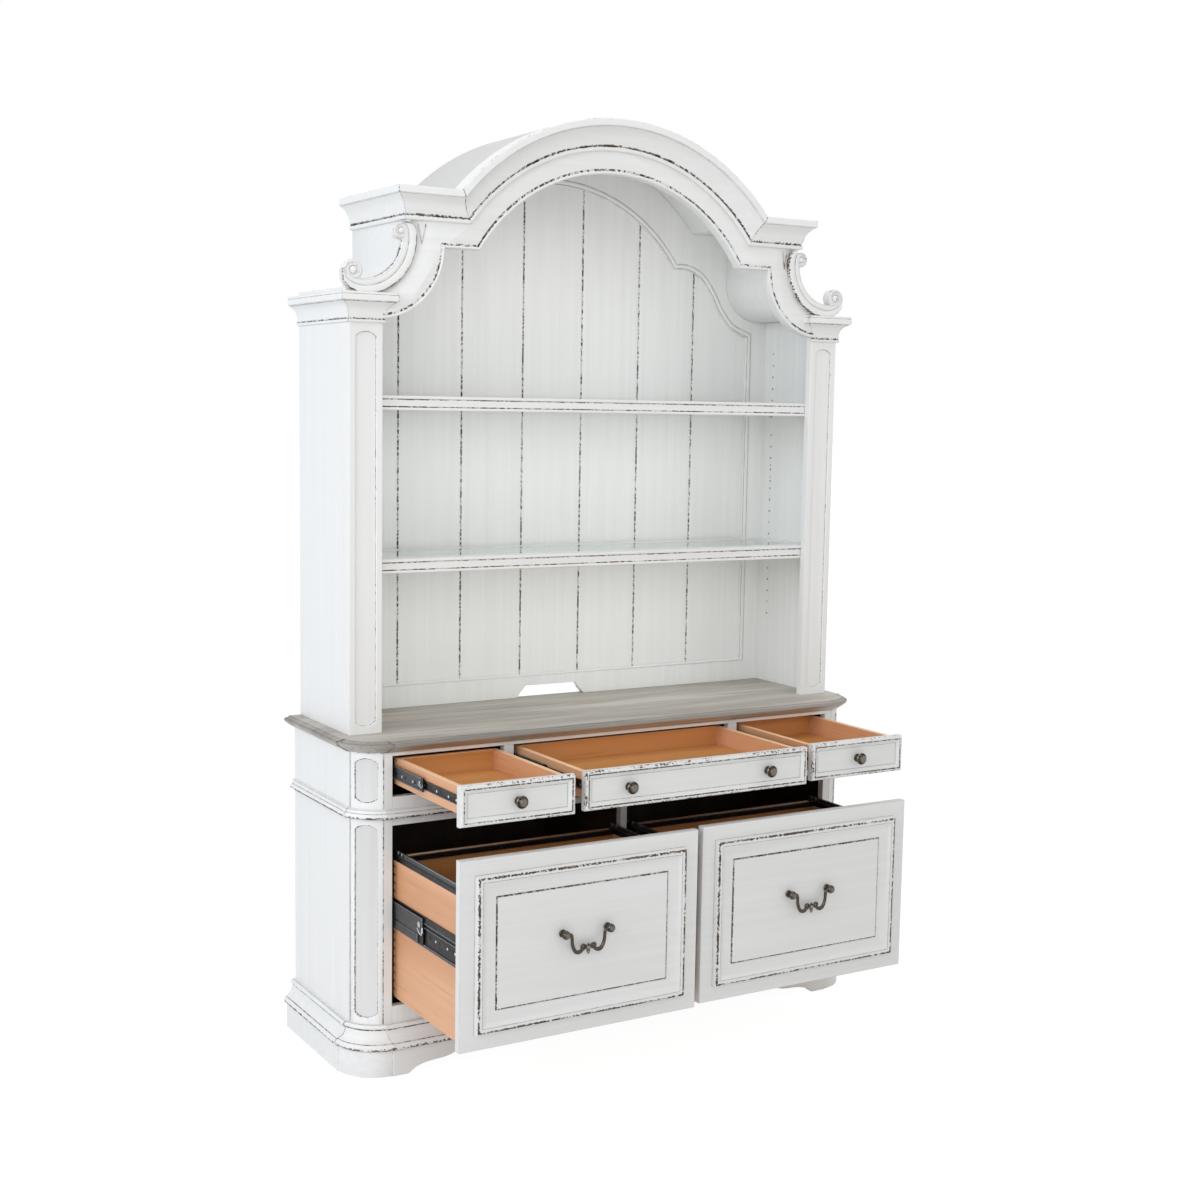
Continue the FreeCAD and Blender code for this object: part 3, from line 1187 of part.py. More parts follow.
def check_and_write():
    """Stop on any failed object, then write one file for each sub-part."""
    doc.recompute()
    for item in doc.Objects:
        if "Invalid" in item.State or "Error" in item.State:
            raise RuntimeError("%s failed: %s" % (item.Name, item.State))
    for node in nodes:
        shape = node.Shape
        if shape.isNull() or not shape.isValid() or not shape.Solids:
            raise RuntimeError("%s has no valid solid" % node.Label)
    os.makedirs("parts", exist_ok=True)
    for node in nodes:
        node.Shape.exportStep("parts/%s.step" % node.Label)
    whole = Part.makeCompound([node.Shape for node in nodes]).BoundBox
    print("%d nodes, %.0f x %.0f x %.0f mm" % (len(nodes), whole.XLength, whole.YLength, whole.ZLength))


make_case()
make_face_frame()
make_corner_posts()
make_top_and_mouldings()
make_plinth()
make_pilasters()
make_capitals()
make_fascia()
make_crown()
make_roof_and_shoulders()
make_scrolls()
make_back()
make_shelves()
make_drawers()
check_and_write()
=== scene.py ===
# %% [markdown]
# # A painted credenza with an open hutch
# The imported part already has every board, drawer and slide in its place. This file dresses it: each
# step takes one piece or finish of the real cabinet, says how it could be made, and makes it.
# Places are in metres, as Blender wants them, and moulding profiles are in millimetres, as a joiner
# would write them on a drawing.

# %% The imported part
import math
import bmesh
import bpy
from mathutils import Matrix, Vector


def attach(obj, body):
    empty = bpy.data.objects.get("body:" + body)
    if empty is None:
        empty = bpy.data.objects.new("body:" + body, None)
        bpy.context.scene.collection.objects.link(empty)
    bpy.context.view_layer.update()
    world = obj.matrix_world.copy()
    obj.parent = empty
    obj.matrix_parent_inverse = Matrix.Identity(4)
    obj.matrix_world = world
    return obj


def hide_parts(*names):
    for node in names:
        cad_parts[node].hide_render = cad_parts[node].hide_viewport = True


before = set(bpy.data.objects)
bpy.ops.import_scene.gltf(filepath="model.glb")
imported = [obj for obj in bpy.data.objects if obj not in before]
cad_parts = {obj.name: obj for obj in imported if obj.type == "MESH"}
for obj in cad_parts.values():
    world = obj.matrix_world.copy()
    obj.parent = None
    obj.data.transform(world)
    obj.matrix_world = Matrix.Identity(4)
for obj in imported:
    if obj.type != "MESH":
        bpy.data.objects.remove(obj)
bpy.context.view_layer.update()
scene = bpy.context.scene
scene.view_settings.view_transform = "Standard"
MM = 0.001

# %% [markdown]
# The camera stands to the left, a little above the middle shelf, and looks slightly down. Its place and
# turn were fitted to corners that the photograph shows, so they are given as plain numbers: a position,
# three angles, and a lens for a square picture.

# %% Camera
EYE = Vector((-2.187459, -3.906258, 1.544469))
YAW, PITCH, ROLL = 0.54136246, 0.1118644, -0.01648735
SENSOR, LENS = 36.0, 50.978

forward = Vector((math.sin(YAW) * math.cos(PITCH), math.cos(YAW) * math.cos(PITCH), -math.sin(PITCH)))
level = Vector((math.cos(YAW), -math.sin(YAW), 0.0))
under = forward.cross(level)
across = level * math.cos(ROLL) + under * math.sin(ROLL)
down = under * math.cos(ROLL) - level * math.sin(ROLL)
viewpoint = bpy.data.objects.new("viewpoint", bpy.data.cameras.new("viewpoint"))
viewpoint.data.lens, viewpoint.data.sensor_width = LENS, SENSOR
viewpoint.matrix_world = Matrix.Translation(EYE) @ Matrix((across, -down, -forward)).transposed().to_4x4()
scene.collection.objects.link(viewpoint)
scene.camera = viewpoint
print("camera looks along", [round(v, 3) for v in forward])

# %% [markdown]
# The studio is white all round. A white wall could be lit until it clips, but that would also flood the
# cabinet, so the world and the floor are only white to rays that come straight from the camera, a
# reflection or glass, and stay at a plain level for the light that falls on the cabinet. The floor
# mixes that white with an ordinary pale surface, which keeps a soft shadow under the plinth.

# %% Floor and backdrop
AMBIENT = 0.66
FLOOR_HALF = 60.0
FLOOR_SHADE, FLOOR_ROUGHNESS = 0.86, 0.9
FLOOR_WHITE, FLOOR_GLOW = 0.88, 1.10


def straight_sight(nodes, links):
    """A socket that is one for rays from the camera, a reflection or glass."""
    path = nodes.new("ShaderNodeLightPath")
    seen = path.outputs["Is Camera Ray"]
    for kind in ("Is Glossy Ray", "Is Transmission Ray"):
        either = nodes.new("ShaderNodeMath")
        either.operation = "MAXIMUM"
        links.new(seen, either.inputs[0])
        links.new(path.outputs[kind], either.inputs[1])
        seen = either.outputs[0]
    return seen


def remapped(nodes, links, value, low, high):
    """Spread a value from 0..1 to low..high."""
    spread = nodes.new("ShaderNodeMapRange")
    spread.inputs["To Min"].default_value = low
    spread.inputs["To Max"].default_value = high
    links.new(value, spread.inputs["Value"])
    return spread.outputs["Result"]


studio = bpy.data.worlds.new("studio")
scene.world = studio
studio.use_nodes = True
sky_nodes, sky_links = studio.node_tree.nodes, studio.node_tree.links
sky_nodes["Background"].inputs["Color"].default_value = (1.0, 1.0, 1.0, 1.0)
sky_links.new(remapped(sky_nodes, sky_links, straight_sight(sky_nodes, sky_links), AMBIENT, 1.0),
              sky_nodes["Background"].inputs["Strength"])

pale = bpy.data.materials.new("pale_floor")
pale.use_nodes = True
floor_nodes, floor_links = pale.node_tree.nodes, pale.node_tree.links
plain = floor_nodes["Principled BSDF"]
plain.inputs["Base Color"].default_value = (FLOOR_SHADE, FLOOR_SHADE, FLOOR_SHADE, 1.0)
plain.inputs["Roughness"].default_value = FLOOR_ROUGHNESS
plain.inputs["Specular IOR Level"].default_value = 0.0
glow, blend = floor_nodes.new("ShaderNodeEmission"), floor_nodes.new("ShaderNodeMixShader")
glow.inputs["Strength"].default_value = FLOOR_GLOW
seen_straight = straight_sight(floor_nodes, floor_links)
floor_links.new(remapped(floor_nodes, floor_links, seen_straight, 0.0, FLOOR_WHITE), blend.inputs[0])
floor_links.new(plain.outputs[0], blend.inputs[1])
floor_links.new(glow.outputs[0], blend.inputs[2])
floor_links.new(blend.outputs[0], floor_nodes["Material Output"].inputs["Surface"])
floor_corners = [(x * FLOOR_HALF, y * FLOOR_HALF, 0.0) for x, y in ((-1, -1), (1, -1), (1, 1), (-1, 1))]
floor_mesh = bpy.data.meshes.new("floor")
floor_mesh.from_pydata(floor_corners, [], [(0, 1, 2, 3)])
floor_mesh.materials.append(pale)
floor = bpy.data.objects.new("floor", floor_mesh)
scene.collection.objects.link(floor)
print("ambient light", AMBIENT)

# %% [markdown]
# Soft lamps: a large one in front, a cool one to the left, which makes the side panels look blue-white,
# a weak one to the right so that no face goes black, and one overhead for the worktop and the ledges. An
# open hutch swallows light, so each of its three bays has a faint lamp in its opening that only lights
# the back and the inner sides.

# %% Lamps
WARM, COOL, NEUTRAL = (1.0, 0.99, 0.975), (0.80, 0.88, 1.0), (1.0, 1.0, 1.0)
BAY_LIGHT = (0.97, 0.99, 1.0)
LAMPS = (
    # name, place, looks at, width, height, watts, colour
    ("front_softbox", (-2.0, -4.4, 2.1), (0.0, -0.2, 1.6), 3.4, 3.4, 38.0, WARM),
    ("left_softbox", (-4.6, -1.6, 2.8), (-0.5, -0.2, 1.2), 2.6, 2.6, 92.0, COOL),
    ("right_softbox", (3.6, -3.8, 2.4), (0.2, -0.3, 1.0), 2.4, 2.4, 10.0, NEUTRAL),
    ("overhead_softbox", (0.0, -1.0, 5.0), (0.0, -0.4, 0.8), 3.0, 3.0, 36.0, NEUTRAL),
    ("low_bay", (0.0, -0.27, 0.97), (0.0, 0.0, 0.97), 1.20, 0.30, 0.50, BAY_LIGHT),
    ("middle_bay", (0.0, -0.27, 1.37), (0.0, 0.0, 1.37), 1.20, 0.30, 0.50, BAY_LIGHT),
    ("arch_bay", (0.0, -0.27, 1.78), (0.0, 0.0, 1.78), 1.00, 0.40, 0.46, BAY_LIGHT),
)
for name, place, target, wide, tall, watts, colour in LAMPS:
    lamp = bpy.data.lights.new(name, "AREA")
    lamp.shape = "RECTANGLE"
    lamp.size, lamp.size_y, lamp.energy, lamp.color = wide, tall, watts, colour
    holder = bpy.data.objects.new(name, lamp)
    holder.location = place
    holder.rotation_euler = (Vector(target) - Vector(place)).to_track_quat("-Z", "Y").to_euler()
    scene.collection.objects.link(holder)
print(len(LAMPS), "lamps")

# %% [markdown]
# Every finish on the cabinet is mixed from the same few things: noise that is stretched along the grain,
# soft thresholds, and two marks that the meshes carry on their corners. "rub" says how likely the paint is
# to be rubbed through there, and "glaze" how much of the grey glaze was left when the paint was wiped. The
# class below keeps the node building short.

# %% Mixing finishes
# A Mix node has sockets for several kinds of data under the same names, so the colour sockets go by place.
MIX_SHARE, MIX_FIRST, MIX_SECOND, MIX_RESULT = 0, 6, 7, 2


class Finish:
    """A material being mixed, with short ways to add the nodes that this file uses."""

    def __init__(self, name, roughness, metallic=0.0):
        self.material = bpy.data.materials.new(name)
        self.material.use_nodes = True
        self.nodes, self.links = self.material.node_tree.nodes, self.material.node_tree.links
        self.surface = self.nodes["Principled BSDF"]
        self.set("Roughness", roughness)
        self.set("Metallic", metallic)
        self.place = self.nodes.new("ShaderNodeTexCoord").outputs["Object"]

    def plug(self, socket, value):
        """Link another socket, or set a plain number or colour."""
        if isinstance(value, bpy.types.NodeSocket):
            self.links.new(value, socket)
        elif isinstance(value, tuple) and len(socket.default_value) == 4:
            socket.default_value = value + (1.0,)
        else:
            socket.default_value = value

    def set(self, name, value):
        self.plug(self.surface.inputs[name], value)

    def maths(self, operation, first, second):
        node = self.nodes.new("ShaderNodeMath")
        node.operation = operation
        self.plug(node.inputs[0], first)
        self.plug(node.inputs[1], second)
        return node.outputs[0]

    def noise(self, scale, detail=3.0, stretch=(1.0, 1.0, 1.0), roughness=0.55):
        mapping, node = self.nodes.new("ShaderNodeMapping"), self.nodes.new("ShaderNodeTexNoise")
        mapping.inputs["Scale"].default_value = stretch
        self.links.new(self.place, mapping.inputs["Vector"])
        self.links.new(mapping.outputs["Vector"], node.inputs["Vector"])
        for socket, value in (("Scale", scale), ("Detail", detail), ("Roughness", roughness)):
            node.inputs[socket].default_value = value
        return node.outputs["Fac"]

    def ramp(self, value, low, high, start=0.0, end=1.0):
        node = self.nodes.new("ShaderNodeMapRange")
        node.interpolation_type = "SMOOTHSTEP"
        for socket, number in (("From Min", low), ("From Max", high), ("To Min", start), ("To Max", end)):
            node.inputs[socket].default_value = number
        self.plug(node.inputs["Value"], value)
        return node.outputs["Result"]

    def mix(self, share, first, second):
        node = self.nodes.new("ShaderNodeMix")
        node.data_type = "RGBA"
        for place, value in ((MIX_SHARE, share), (MIX_FIRST, first), (MIX_SECOND, second)):
            self.plug(node.inputs[place], value)
        return node.outputs[MIX_RESULT]

    def mark(self, name):
        node = self.nodes.new("ShaderNodeAttribute")
        node.attribute_name = name
        return node.outputs["Fac"]

    def bump(self, height, strength, distance):
        node = self.nodes.new("ShaderNodeBump")
        node.inputs["Strength"].default_value = strength
        node.inputs["Distance"].default_value = distance
        self.links.new(height, node.inputs["Height"])
        self.links.new(node.outputs["Normal"], self.surface.inputs["Normal"])


UPRIGHT, LENGTHWISE, FRONT_TO_BACK = (1.0, 1.0, 0.025), (0.025, 1.0, 1.0), (1.0, 0.025, 1.0)
print("grain runs up, along or front to back")

# %% [markdown]
# The paint is an antique white: brushed on, glazed with grey and wiped, then rubbed through to dark wood
# on the edges and in the quirks of the mouldings. A flat white with dark lines drawn on it would look
# printed. Here the rub mark only raises the odds: fine specks and wide patches of noise decide where
# the paint really broke, so a line is dark in one place and gone in the next. The drawer fronts, the
# sunk panel floors of the corner posts and the top of the vault have a share of grey in their paint:
# this is painted shade, darker than the rest of the case.

# %% Antique white paint
PAINT_LOW, PAINT_HIGH, PAINT_CLOUD = (0.772, 0.771, 0.754), (0.808, 0.807, 0.794), (0.785, 0.785, 0.762)
# The first grey is the grey of painted shade, mixed into the fronts, the sunk floors and the vault top.
SHADE_GREY, GLAZE_GREY = (0.25, 0.245, 0.225), (0.25, 0.235, 0.21)
BARE_DARK, BARE_LIGHT = (0.028, 0.022, 0.017), (0.16, 0.10, 0.055)
# Scale and weight of the noise that decides where paint breaks: wide patches, spots, fine specks.
WEAR_NOISE = ((9.0, 0.32), (60.0, 0.30), (185.0, 0.73))
WEAR_START, BREAK_LOW, BREAK_HIGH = 0.05, 0.52, 0.58
# Shares of painted shade: drawer fronts, sunk panel floors of the posts, top of the vault.
FRONTS_SHADE, SUNK_SHADE, VAULT_TOP_SHADE = 0.17, 0.24, 0.42


def antique_white(name, grain, grey=0.0):
    paint = Finish(name, roughness=0.45)
    strokes = paint.noise(70.0, 4.0, grain)
    clouds = paint.noise(2.3, 2.0)
    body = paint.mix(paint.ramp(strokes, 0.36, 0.66), PAINT_LOW, PAINT_HIGH)
    body = paint.mix(paint.ramp(clouds, 0.35, 0.72, 0.0, 0.45), body, PAINT_CLOUD)
    body = paint.mix(grey, body, SHADE_GREY)
    wiped = paint.ramp(paint.noise(38.0), 0.25, 0.62, 0.30, 0.72)
    body = paint.mix(paint.maths("MULTIPLY", paint.mark("glaze"), wiped), body, GLAZE_GREY)
    luck = WEAR_START
    for size, weight in WEAR_NOISE:
        luck = paint.maths("ADD", paint.ramp(paint.noise(size, 2.0), 0.36, 0.64, 0.0, weight), luck)
    bare = paint.ramp(paint.maths("MULTIPLY", luck, paint.mark("rub")), BREAK_LOW, BREAK_HIGH)
    wood = paint.mix(paint.ramp(paint.noise(120.0), 0.45, 0.65), BARE_DARK, BARE_LIGHT)
    paint.set("Base Color", paint.mix(bare, body, wood))
    paint.set("Roughness", paint.maths("ADD", paint.ramp(strokes, 0.3, 0.7, 0.40, 0.50),
                                       paint.maths("MULTIPLY", bare, 0.3)))
    paint.bump(paint.maths("SUBTRACT", paint.maths("MULTIPLY", strokes, 0.35), bare), 0.16, 0.0006)
    return paint.material


paint_upright = antique_white("antique_white_upright", UPRIGHT)
paint_along = antique_white("antique_white_along", LENGTHWISE)
# These three paints are darker by a share of grey that is painted shade.
paint_fronts_shaded = antique_white("antique_white_fronts_shaded", LENGTHWISE, FRONTS_SHADE)
paint_sunk_shaded = antique_white("antique_white_sunk_shaded", UPRIGHT, SUNK_SHADE)
paint_vault_top_shade = antique_white("antique_white_vault_top_shade", LENGTHWISE, VAULT_TOP_SHADE)
print("paint:", *(paint.name for paint in (paint_upright, paint_along, paint_fronts_shaded, paint_sunk_shaded, paint_vault_top_shade)))

# %% [markdown]
# The worktop is bare-looking wood that was greyed and limed, with long streaks from end to end. The grain
# is the same noise as the brush strokes, but coarser and in greyed browns, and the moulded edge is darker
# because the glaze stayed in it: the worktop's mesh marks its edge with "glaze".

# %% Weathered worktop
TOP_DARK, TOP_LIGHT, TOP_FIBRE = (0.36, 0.325, 0.28), (0.55, 0.51, 0.455), (0.17, 0.14, 0.115)
TOP_LIMED, TOP_GLAZED, TOP_GLAZE_SHARE = (0.50, 0.475, 0.43), (0.098, 0.096, 0.096), 0.66
BAND_GRAIN, FIBRE_GRAIN, LIME_GRAIN = (0.10, 1.0, 1.0), (0.02, 1.0, 1.0), (0.03, 1.0, 1.0)


def weathered_wood(name):
    wood = Finish(name, roughness=0.5)
    bands = wood.noise(9.0, 5.0, BAND_GRAIN, 0.62)
    fibres = wood.noise(150.0, 3.0, FIBRE_GRAIN)
    body = wood.mix(wood.ramp(bands, 0.34, 0.66), TOP_DARK, TOP_LIGHT)
    body = wood.mix(wood.ramp(fibres, 0.50, 0.72, 0.0, 0.60), body, TOP_FIBRE)
    limed = wood.ramp(wood.noise(60.0, 3.0, LIME_GRAIN), 0.56, 0.74, 0.0, 0.45)
    body = wood.mix(limed, body, TOP_LIMED)
    body = wood.mix(wood.maths("MULTIPLY", wood.mark("glaze"), TOP_GLAZE_SHARE), body, TOP_GLAZED)
    wood.set("Base Color", body)
    wood.set("Roughness", wood.ramp(fibres, 0.3, 0.7, 0.42, 0.60))
    wood.bump(fibres, 0.22, 0.0005)
    return wood.material


worktop_wood = weathered_wood("weathered_worktop")
print("worktop:", worktop_wood.name)

# %% [markdown]
# The drawer boxes are plain lacquered hardwood, rosy on the long sides and tan across the back, with pale
# end grain, kept light as a painted highlight, where the corners are jointed. The carcase behind is painted
# near-black, as shade for the dark inside of the case. Straight-grained wood can be drawn with a wave
# texture, but its even rings look machine-made, so the grain is stretched noise again, with a few darker
# pores. The rub mark lightens an edge or a top as a painted highlight, and the glaze mark darkens it.

# %% Drawer and case wood
LIT_EDGE_WOOD, MARK_SHARE, PORE_SHADE = (0.88, 0.58, 0.34), 0.75, 0.55


def plain_wood(name, grain, light, dark, roughness):
    wood = Finish(name, roughness)
    bands = wood.noise(14.0, 4.0, grain, 0.6)
    pores = wood.noise(210.0, 2.0, grain)
    body = wood.mix(wood.ramp(bands, 0.32, 0.68), dark, light)
    deep = tuple(PORE_SHADE * shade for shade in dark)
    body = wood.mix(wood.ramp(pores, 0.60, 0.74, 0.0, 0.45), body, deep)
    # The rub mark lightens wood as a painted highlight where light catches an edge or a top.
    for mark, shade in (("rub", LIT_EDGE_WOOD), ("glaze", deep)):
        body = wood.mix(wood.maths("MULTIPLY", wood.mark(mark), MARK_SHARE), body, shade)
    wood.set("Base Color", body)
    wood.bump(pores, 0.10, 0.0003)
    return wood.material


TAN_LIGHT, TAN_DARK = (0.64, 0.30, 0.105), (0.52, 0.22, 0.06)
ROSY_LIGHT, ROSY_DARK = (0.72, 0.39, 0.215), (0.61, 0.295, 0.145)
# End grain is kept light as a painted highlight at the rear corner.
END_LIGHT, END_DARK = (0.84, 0.62, 0.32), (0.70, 0.47, 0.21)
# The carcase is near-black: painted shade for the dark inside of the case.
CARCASE_SHADE_LIGHT, CARCASE_SHADE_DARK = (0.05, 0.030, 0.016), (0.028, 0.017, 0.010)
box_wood_deep = plain_wood("box_wood_front_to_back", FRONT_TO_BACK, ROSY_LIGHT, ROSY_DARK, 0.42)
lit_end_grain = plain_wood("lit_end_grain", UPRIGHT, END_LIGHT, END_DARK, 0.5)
box_wood_along = plain_wood("box_wood_along", LENGTHWISE, TAN_LIGHT, TAN_DARK, 0.42)
carcase_painted_shade = plain_wood("carcase_painted_shade", FRONT_TO_BACK, CARCASE_SHADE_LIGHT, CARCASE_SHADE_DARK, 0.6)
print("woods:", box_wood_deep.name, lit_end_grain.name, box_wood_along.name, carcase_painted_shade.name)

# %% [markdown]
# Metal: the slides and file rails are black oxide and grey steel with faint scuffs, the catches and shelf
# pins bright zinc, and the knobs and pulls a dark antique bronze whose high places are polished by hands.
# Gloss and reflections come from the shader, the polish from the rub mark, and from the glaze mark the
# black patina of a groove and the black disc of a slide's hole, which is painted shade.

# %% Metals and glass
PATINA_AND_HOLE_SHADE = (0.004, 0.004, 0.004)


def metal(name, dark, bright, roughness, metallic):
    finish = Finish(name, roughness, metallic)
    scuffs = finish.noise(90.0, 4.0)
    worn = finish.maths("MAXIMUM", finish.ramp(scuffs, 0.58, 0.80, 0.0, 0.5), finish.mark("rub"))
    body = finish.mix(worn, dark, bright)
    # The glaze mark gives black: patina in a groove, and painted shade on a hole's disc.
    finish.set("Base Color", finish.mix(finish.mark("glaze"), body, PATINA_AND_HOLE_SHADE))
    finish.set("Roughness", finish.ramp(scuffs, 0.3, 0.7, roughness - 0.08, roughness + 0.12))
    finish.bump(finish.noise(260.0, 2.0), 0.06, 0.0002)
    return finish.material


black_oxide = metal("black_oxide_steel", (0.016, 0.016, 0.018), (0.075, 0.075, 0.08), 0.34, 0.75)
grey_steel = metal("grey_steel", (0.075, 0.076, 0.08), (0.42, 0.43, 0.45), 0.36, 0.8)
bright_zinc = metal("bright_zinc", (0.52, 0.53, 0.55), (0.75, 0.76, 0.78), 0.28, 1.0)
bronze = metal("antique_bronze", (0.045, 0.037, 0.029), (0.34, 0.30, 0.245), 0.15, 1.0)

glass = Finish("shelf_glass", 0.0)
glass.set("Base Color", (0.80, 0.93, 0.89))
glass.set("Transmission Weight", 1.0)
glass.set("IOR", 1.5)
glass.set("Roughness", glass.ramp(glass.noise(6.0, 2.0), 0.4, 0.8, 0.0, 0.04))
shelf_glass = glass.material
print("metals:", black_oxide.name, grey_steel.name, bright_zinc.name, bronze.name, "and", shelf_glass.name)

# %% [markdown]
# Four tools shape most of the pieces. "moulding" turns a profile drawn as straight and curved runs into
# close rows, with extra rows beside each marked line so that the line stays narrow; along a curve the marks
# blend from one marked point to the next. "skin" stretches quads over rows of points. "board" is a board
# with eased edges. "dressed" copies a CAD node whose shape is right, merges its loose triangles and rounds
# its sharp edges. The first two come here, with what they need.

# %% Marked meshes
LINE, LINE_SHARE = 2.4, 0.45    # reach of a marked line in millimetres, and its largest share of a step
SAME_PLACE = 1e-4               # rows closer together than this count as one
CURVE_STEPS = 5


def blank():
    """An empty mesh that carries the two wear marks on its corners."""
    bm = bmesh.new()
    bm.loops.layers.float.new("rub")
    bm.loops.layers.float.new("glaze")
    return bm


def stamp(bm, faces, rub, glaze):
    """Put the same marks on every corner of some faces."""
    for face in faces:
        for loop in face.loops:
            loop[bm.loops.layers.float["rub"]] = rub
            loop[bm.loops.layers.float["glaze"]] = glaze


def on_curve(points, index, share):
    """A place on the smooth curve through a run's points."""
    row = [points[max(0, min(len(points) - 1, index + k))][:2] for k in (-1, 0, 1, 2)]
    result = []
    for a, b, c, d in zip(*row):
        result.append(b + 0.5 * share * (c - a + share * (2 * a - 5 * b + 4 * c - d
                                                           + share * (3 * (b - c) + d - a))))
    return result


def moulding(*runs):
    """Rows of (out, up, rub, glaze) along a profile of straight ("line") and smooth ("curve") runs."""
    rows = []
    for kind, points in runs:
        points = [tuple(point) + (0.0,) * (4 - len(point)) for point in points]
        for index, (first, second) in enumerate(zip(points, points[1:])):
            near = LINE / max(math.dist(first[:2], second[:2]), SAME_PLACE)
            shares = {0.0}
            if kind == "curve":
                shares |= {step / CURVE_STEPS for step in range(CURVE_STEPS)}
            if near < LINE_SHARE:
                shares |= {near} if max(first[2:]) > 0 else set()
                shares |= {1 - near} if max(second[2:]) > 0 else set()
            for share in sorted(shares):
                marks = first[2:] if share == 0.0 else (0.0, 0.0)
                if kind == "curve":
                    place = on_curve(points, index, share)
                    marks = tuple(a + share * (b - a) if a and b else c
                                  for a, b, c in zip(first[2:], second[2:], marks))
                else:
                    place = [a + share * (b - a) for a, b in zip(first[:2], second[:2])]
                rows.append(tuple(place) + marks)
        rows.append(points[-1])
    return [row for row, after in zip(rows, rows[1:] + [None])
            if after is None or math.dist(row[:2], after[:2]) > SAME_PLACE]


def skin(bm, rows, marks, closed_path=False, closed_profile=False, columns=()):
    """Quads over rows of points. Each corner takes its row's marks, or its column's where they are larger."""
    rub, glaze = bm.loops.layers.float["rub"], bm.loops.layers.float["glaze"]
    columns = dict(columns)
    grid = [[bm.verts.new(point) for point in row] for row in rows]
    count = len(grid[0])
    for i in range(len(grid) if closed_profile else len(grid) - 1):
        j = (i + 1) % len(grid)
        for k in range(count if closed_path else count - 1):
            n = (k + 1) % count
            spots = ((i, k), (i, n), (j, n), (j, k))
            face = bm.faces.new([grid[row][column] for row, column in spots])
            for loop, (row, column) in zip(face.loops, spots):
                extra = columns.get(column, (0.0, 0.0))
                loop[rub], loop[glaze] = max(marks[row][0], extra[0]), max(marks[row][1], extra[1])
    return grid


def close_ends(bm, grid):
    """Close both ends of a moulding whose profile goes all the way round."""
    for end in (0, -1):
        bm.faces.new([row[end] for row in grid])


def close_rings(bm, grid):
    """Close the first and the last row where the rows themselves go all the way round."""
    return [bm.faces.new(ring) for ring in (grid[0], grid[-1])]


print("a marked line reaches", LINE, "mm to each side")

# %% [markdown]
# A finished piece takes its mesh, its materials, the CAD nodes it stands for and the body it moves with. Its
# object stays at the origin, so that the noise is fixed to the wood. Smooth shading is only for faces that
# belong to a curve, which means that a neighbour turns away by a few degrees: a flat board that shared its
# shading with its eased edges would look swollen.

# %% Finished pieces
made = []
FLAT_TURN, ROUND_TURN, SHARP_TURN = 0.05, 21.0, 30.0    # degrees between two faces
WELD, SLIVER = 0.004 * MM, 0.002 * MM
CAD_WELD, CAD_FLAT = 0.02 * MM, math.radians(0.4)
FACING = 0.9                                            # a face looks one way from this cosine on
BOARD_FACES = ((0, 1, 3, 2), (4, 6, 7, 5), (0, 4, 5, 1), (2, 3, 7, 6), (0, 2, 6, 4), (1, 5, 7, 3))


def piece(name, bm, body, materials, nodes=(), bend=32.0):
    """Close the mesh, turn its faces outwards, hide the CAD nodes it stands for and attach it to its body."""
    bmesh.ops.remove_doubles(bm, verts=bm.verts, dist=WELD)
    bmesh.ops.dissolve_degenerate(bm, edges=bm.edges, dist=SLIVER)
    bmesh.ops.recalc_face_normals(bm, faces=bm.faces)
    curved = [any(FLAT_TURN < math.degrees(edge.calc_face_angle(0.0)) < ROUND_TURN for edge in face.edges)
              for face in bm.faces]
    mesh = bpy.data.meshes.new(name)
    bm.to_mesh(mesh)
    bm.free()
    for material in materials:
        mesh.materials.append(material)
    mesh.shade_smooth()
    mesh.set_sharp_from_angle(angle=math.radians(bend))
    mesh.polygons.foreach_set("use_smooth", curved)
    item = bpy.data.objects.new(name, mesh)
    scene.collection.objects.link(item)
    if nodes:
        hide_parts(*nodes)
    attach(item, body)
    made.append(item)


def rounded(bm, edges, ease):
    """Round some edges over by a few tenths of a millimetre or more, and return the new faces."""
    return bmesh.ops.bevel(bm, geom=edges, offset=ease * MM, segments=2, profile=0.5, affect="EDGES",
                           clamp_overlap=True, material=-1)["faces"]


def board(bm, low, high, ease, rub, glaze=0.0, material=0):
    """A board between two corners in millimetres, with its edges rounded over."""
    verts = [bm.verts.new(Vector((x, y, z)) * MM) for x in (low[0], high[0]) for y in (low[1], high[1])
             for z in (low[2], high[2])]
    faces = [bm.faces.new([verts[k] for k in ring]) for ring in BOARD_FACES]
    for face in faces:
        face.material_index = material
    edges = list({edge for face in faces for edge in face.edges})
    stamp(bm, rounded(bm, edges, ease), rub, glaze)


def merged_copy(node):
    """A CAD node's triangles as one clean mesh: doubles merged, flat faces joined, touching faces removed."""
    bm = bmesh.new()
    bm.from_mesh(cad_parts[node].data)
    bmesh.ops.remove_doubles(bm, verts=bm.verts, dist=CAD_WELD)
    bmesh.ops.dissolve_limit(bm, angle_limit=CAD_FLAT, verts=bm.verts, edges=bm.edges)
    seen = {}
    for face in bm.faces:
        seen.setdefault(frozenset(vert.index for vert in face.verts), []).append(face)
    twins = [face for group in seen.values() if len(group) > 1 for face in group]
    bmesh.ops.delete(bm, geom=twins, context="FACES_ONLY")
    for name in ("rub", "glaze"):
        bm.loops.layers.float.new(name)
    return bm


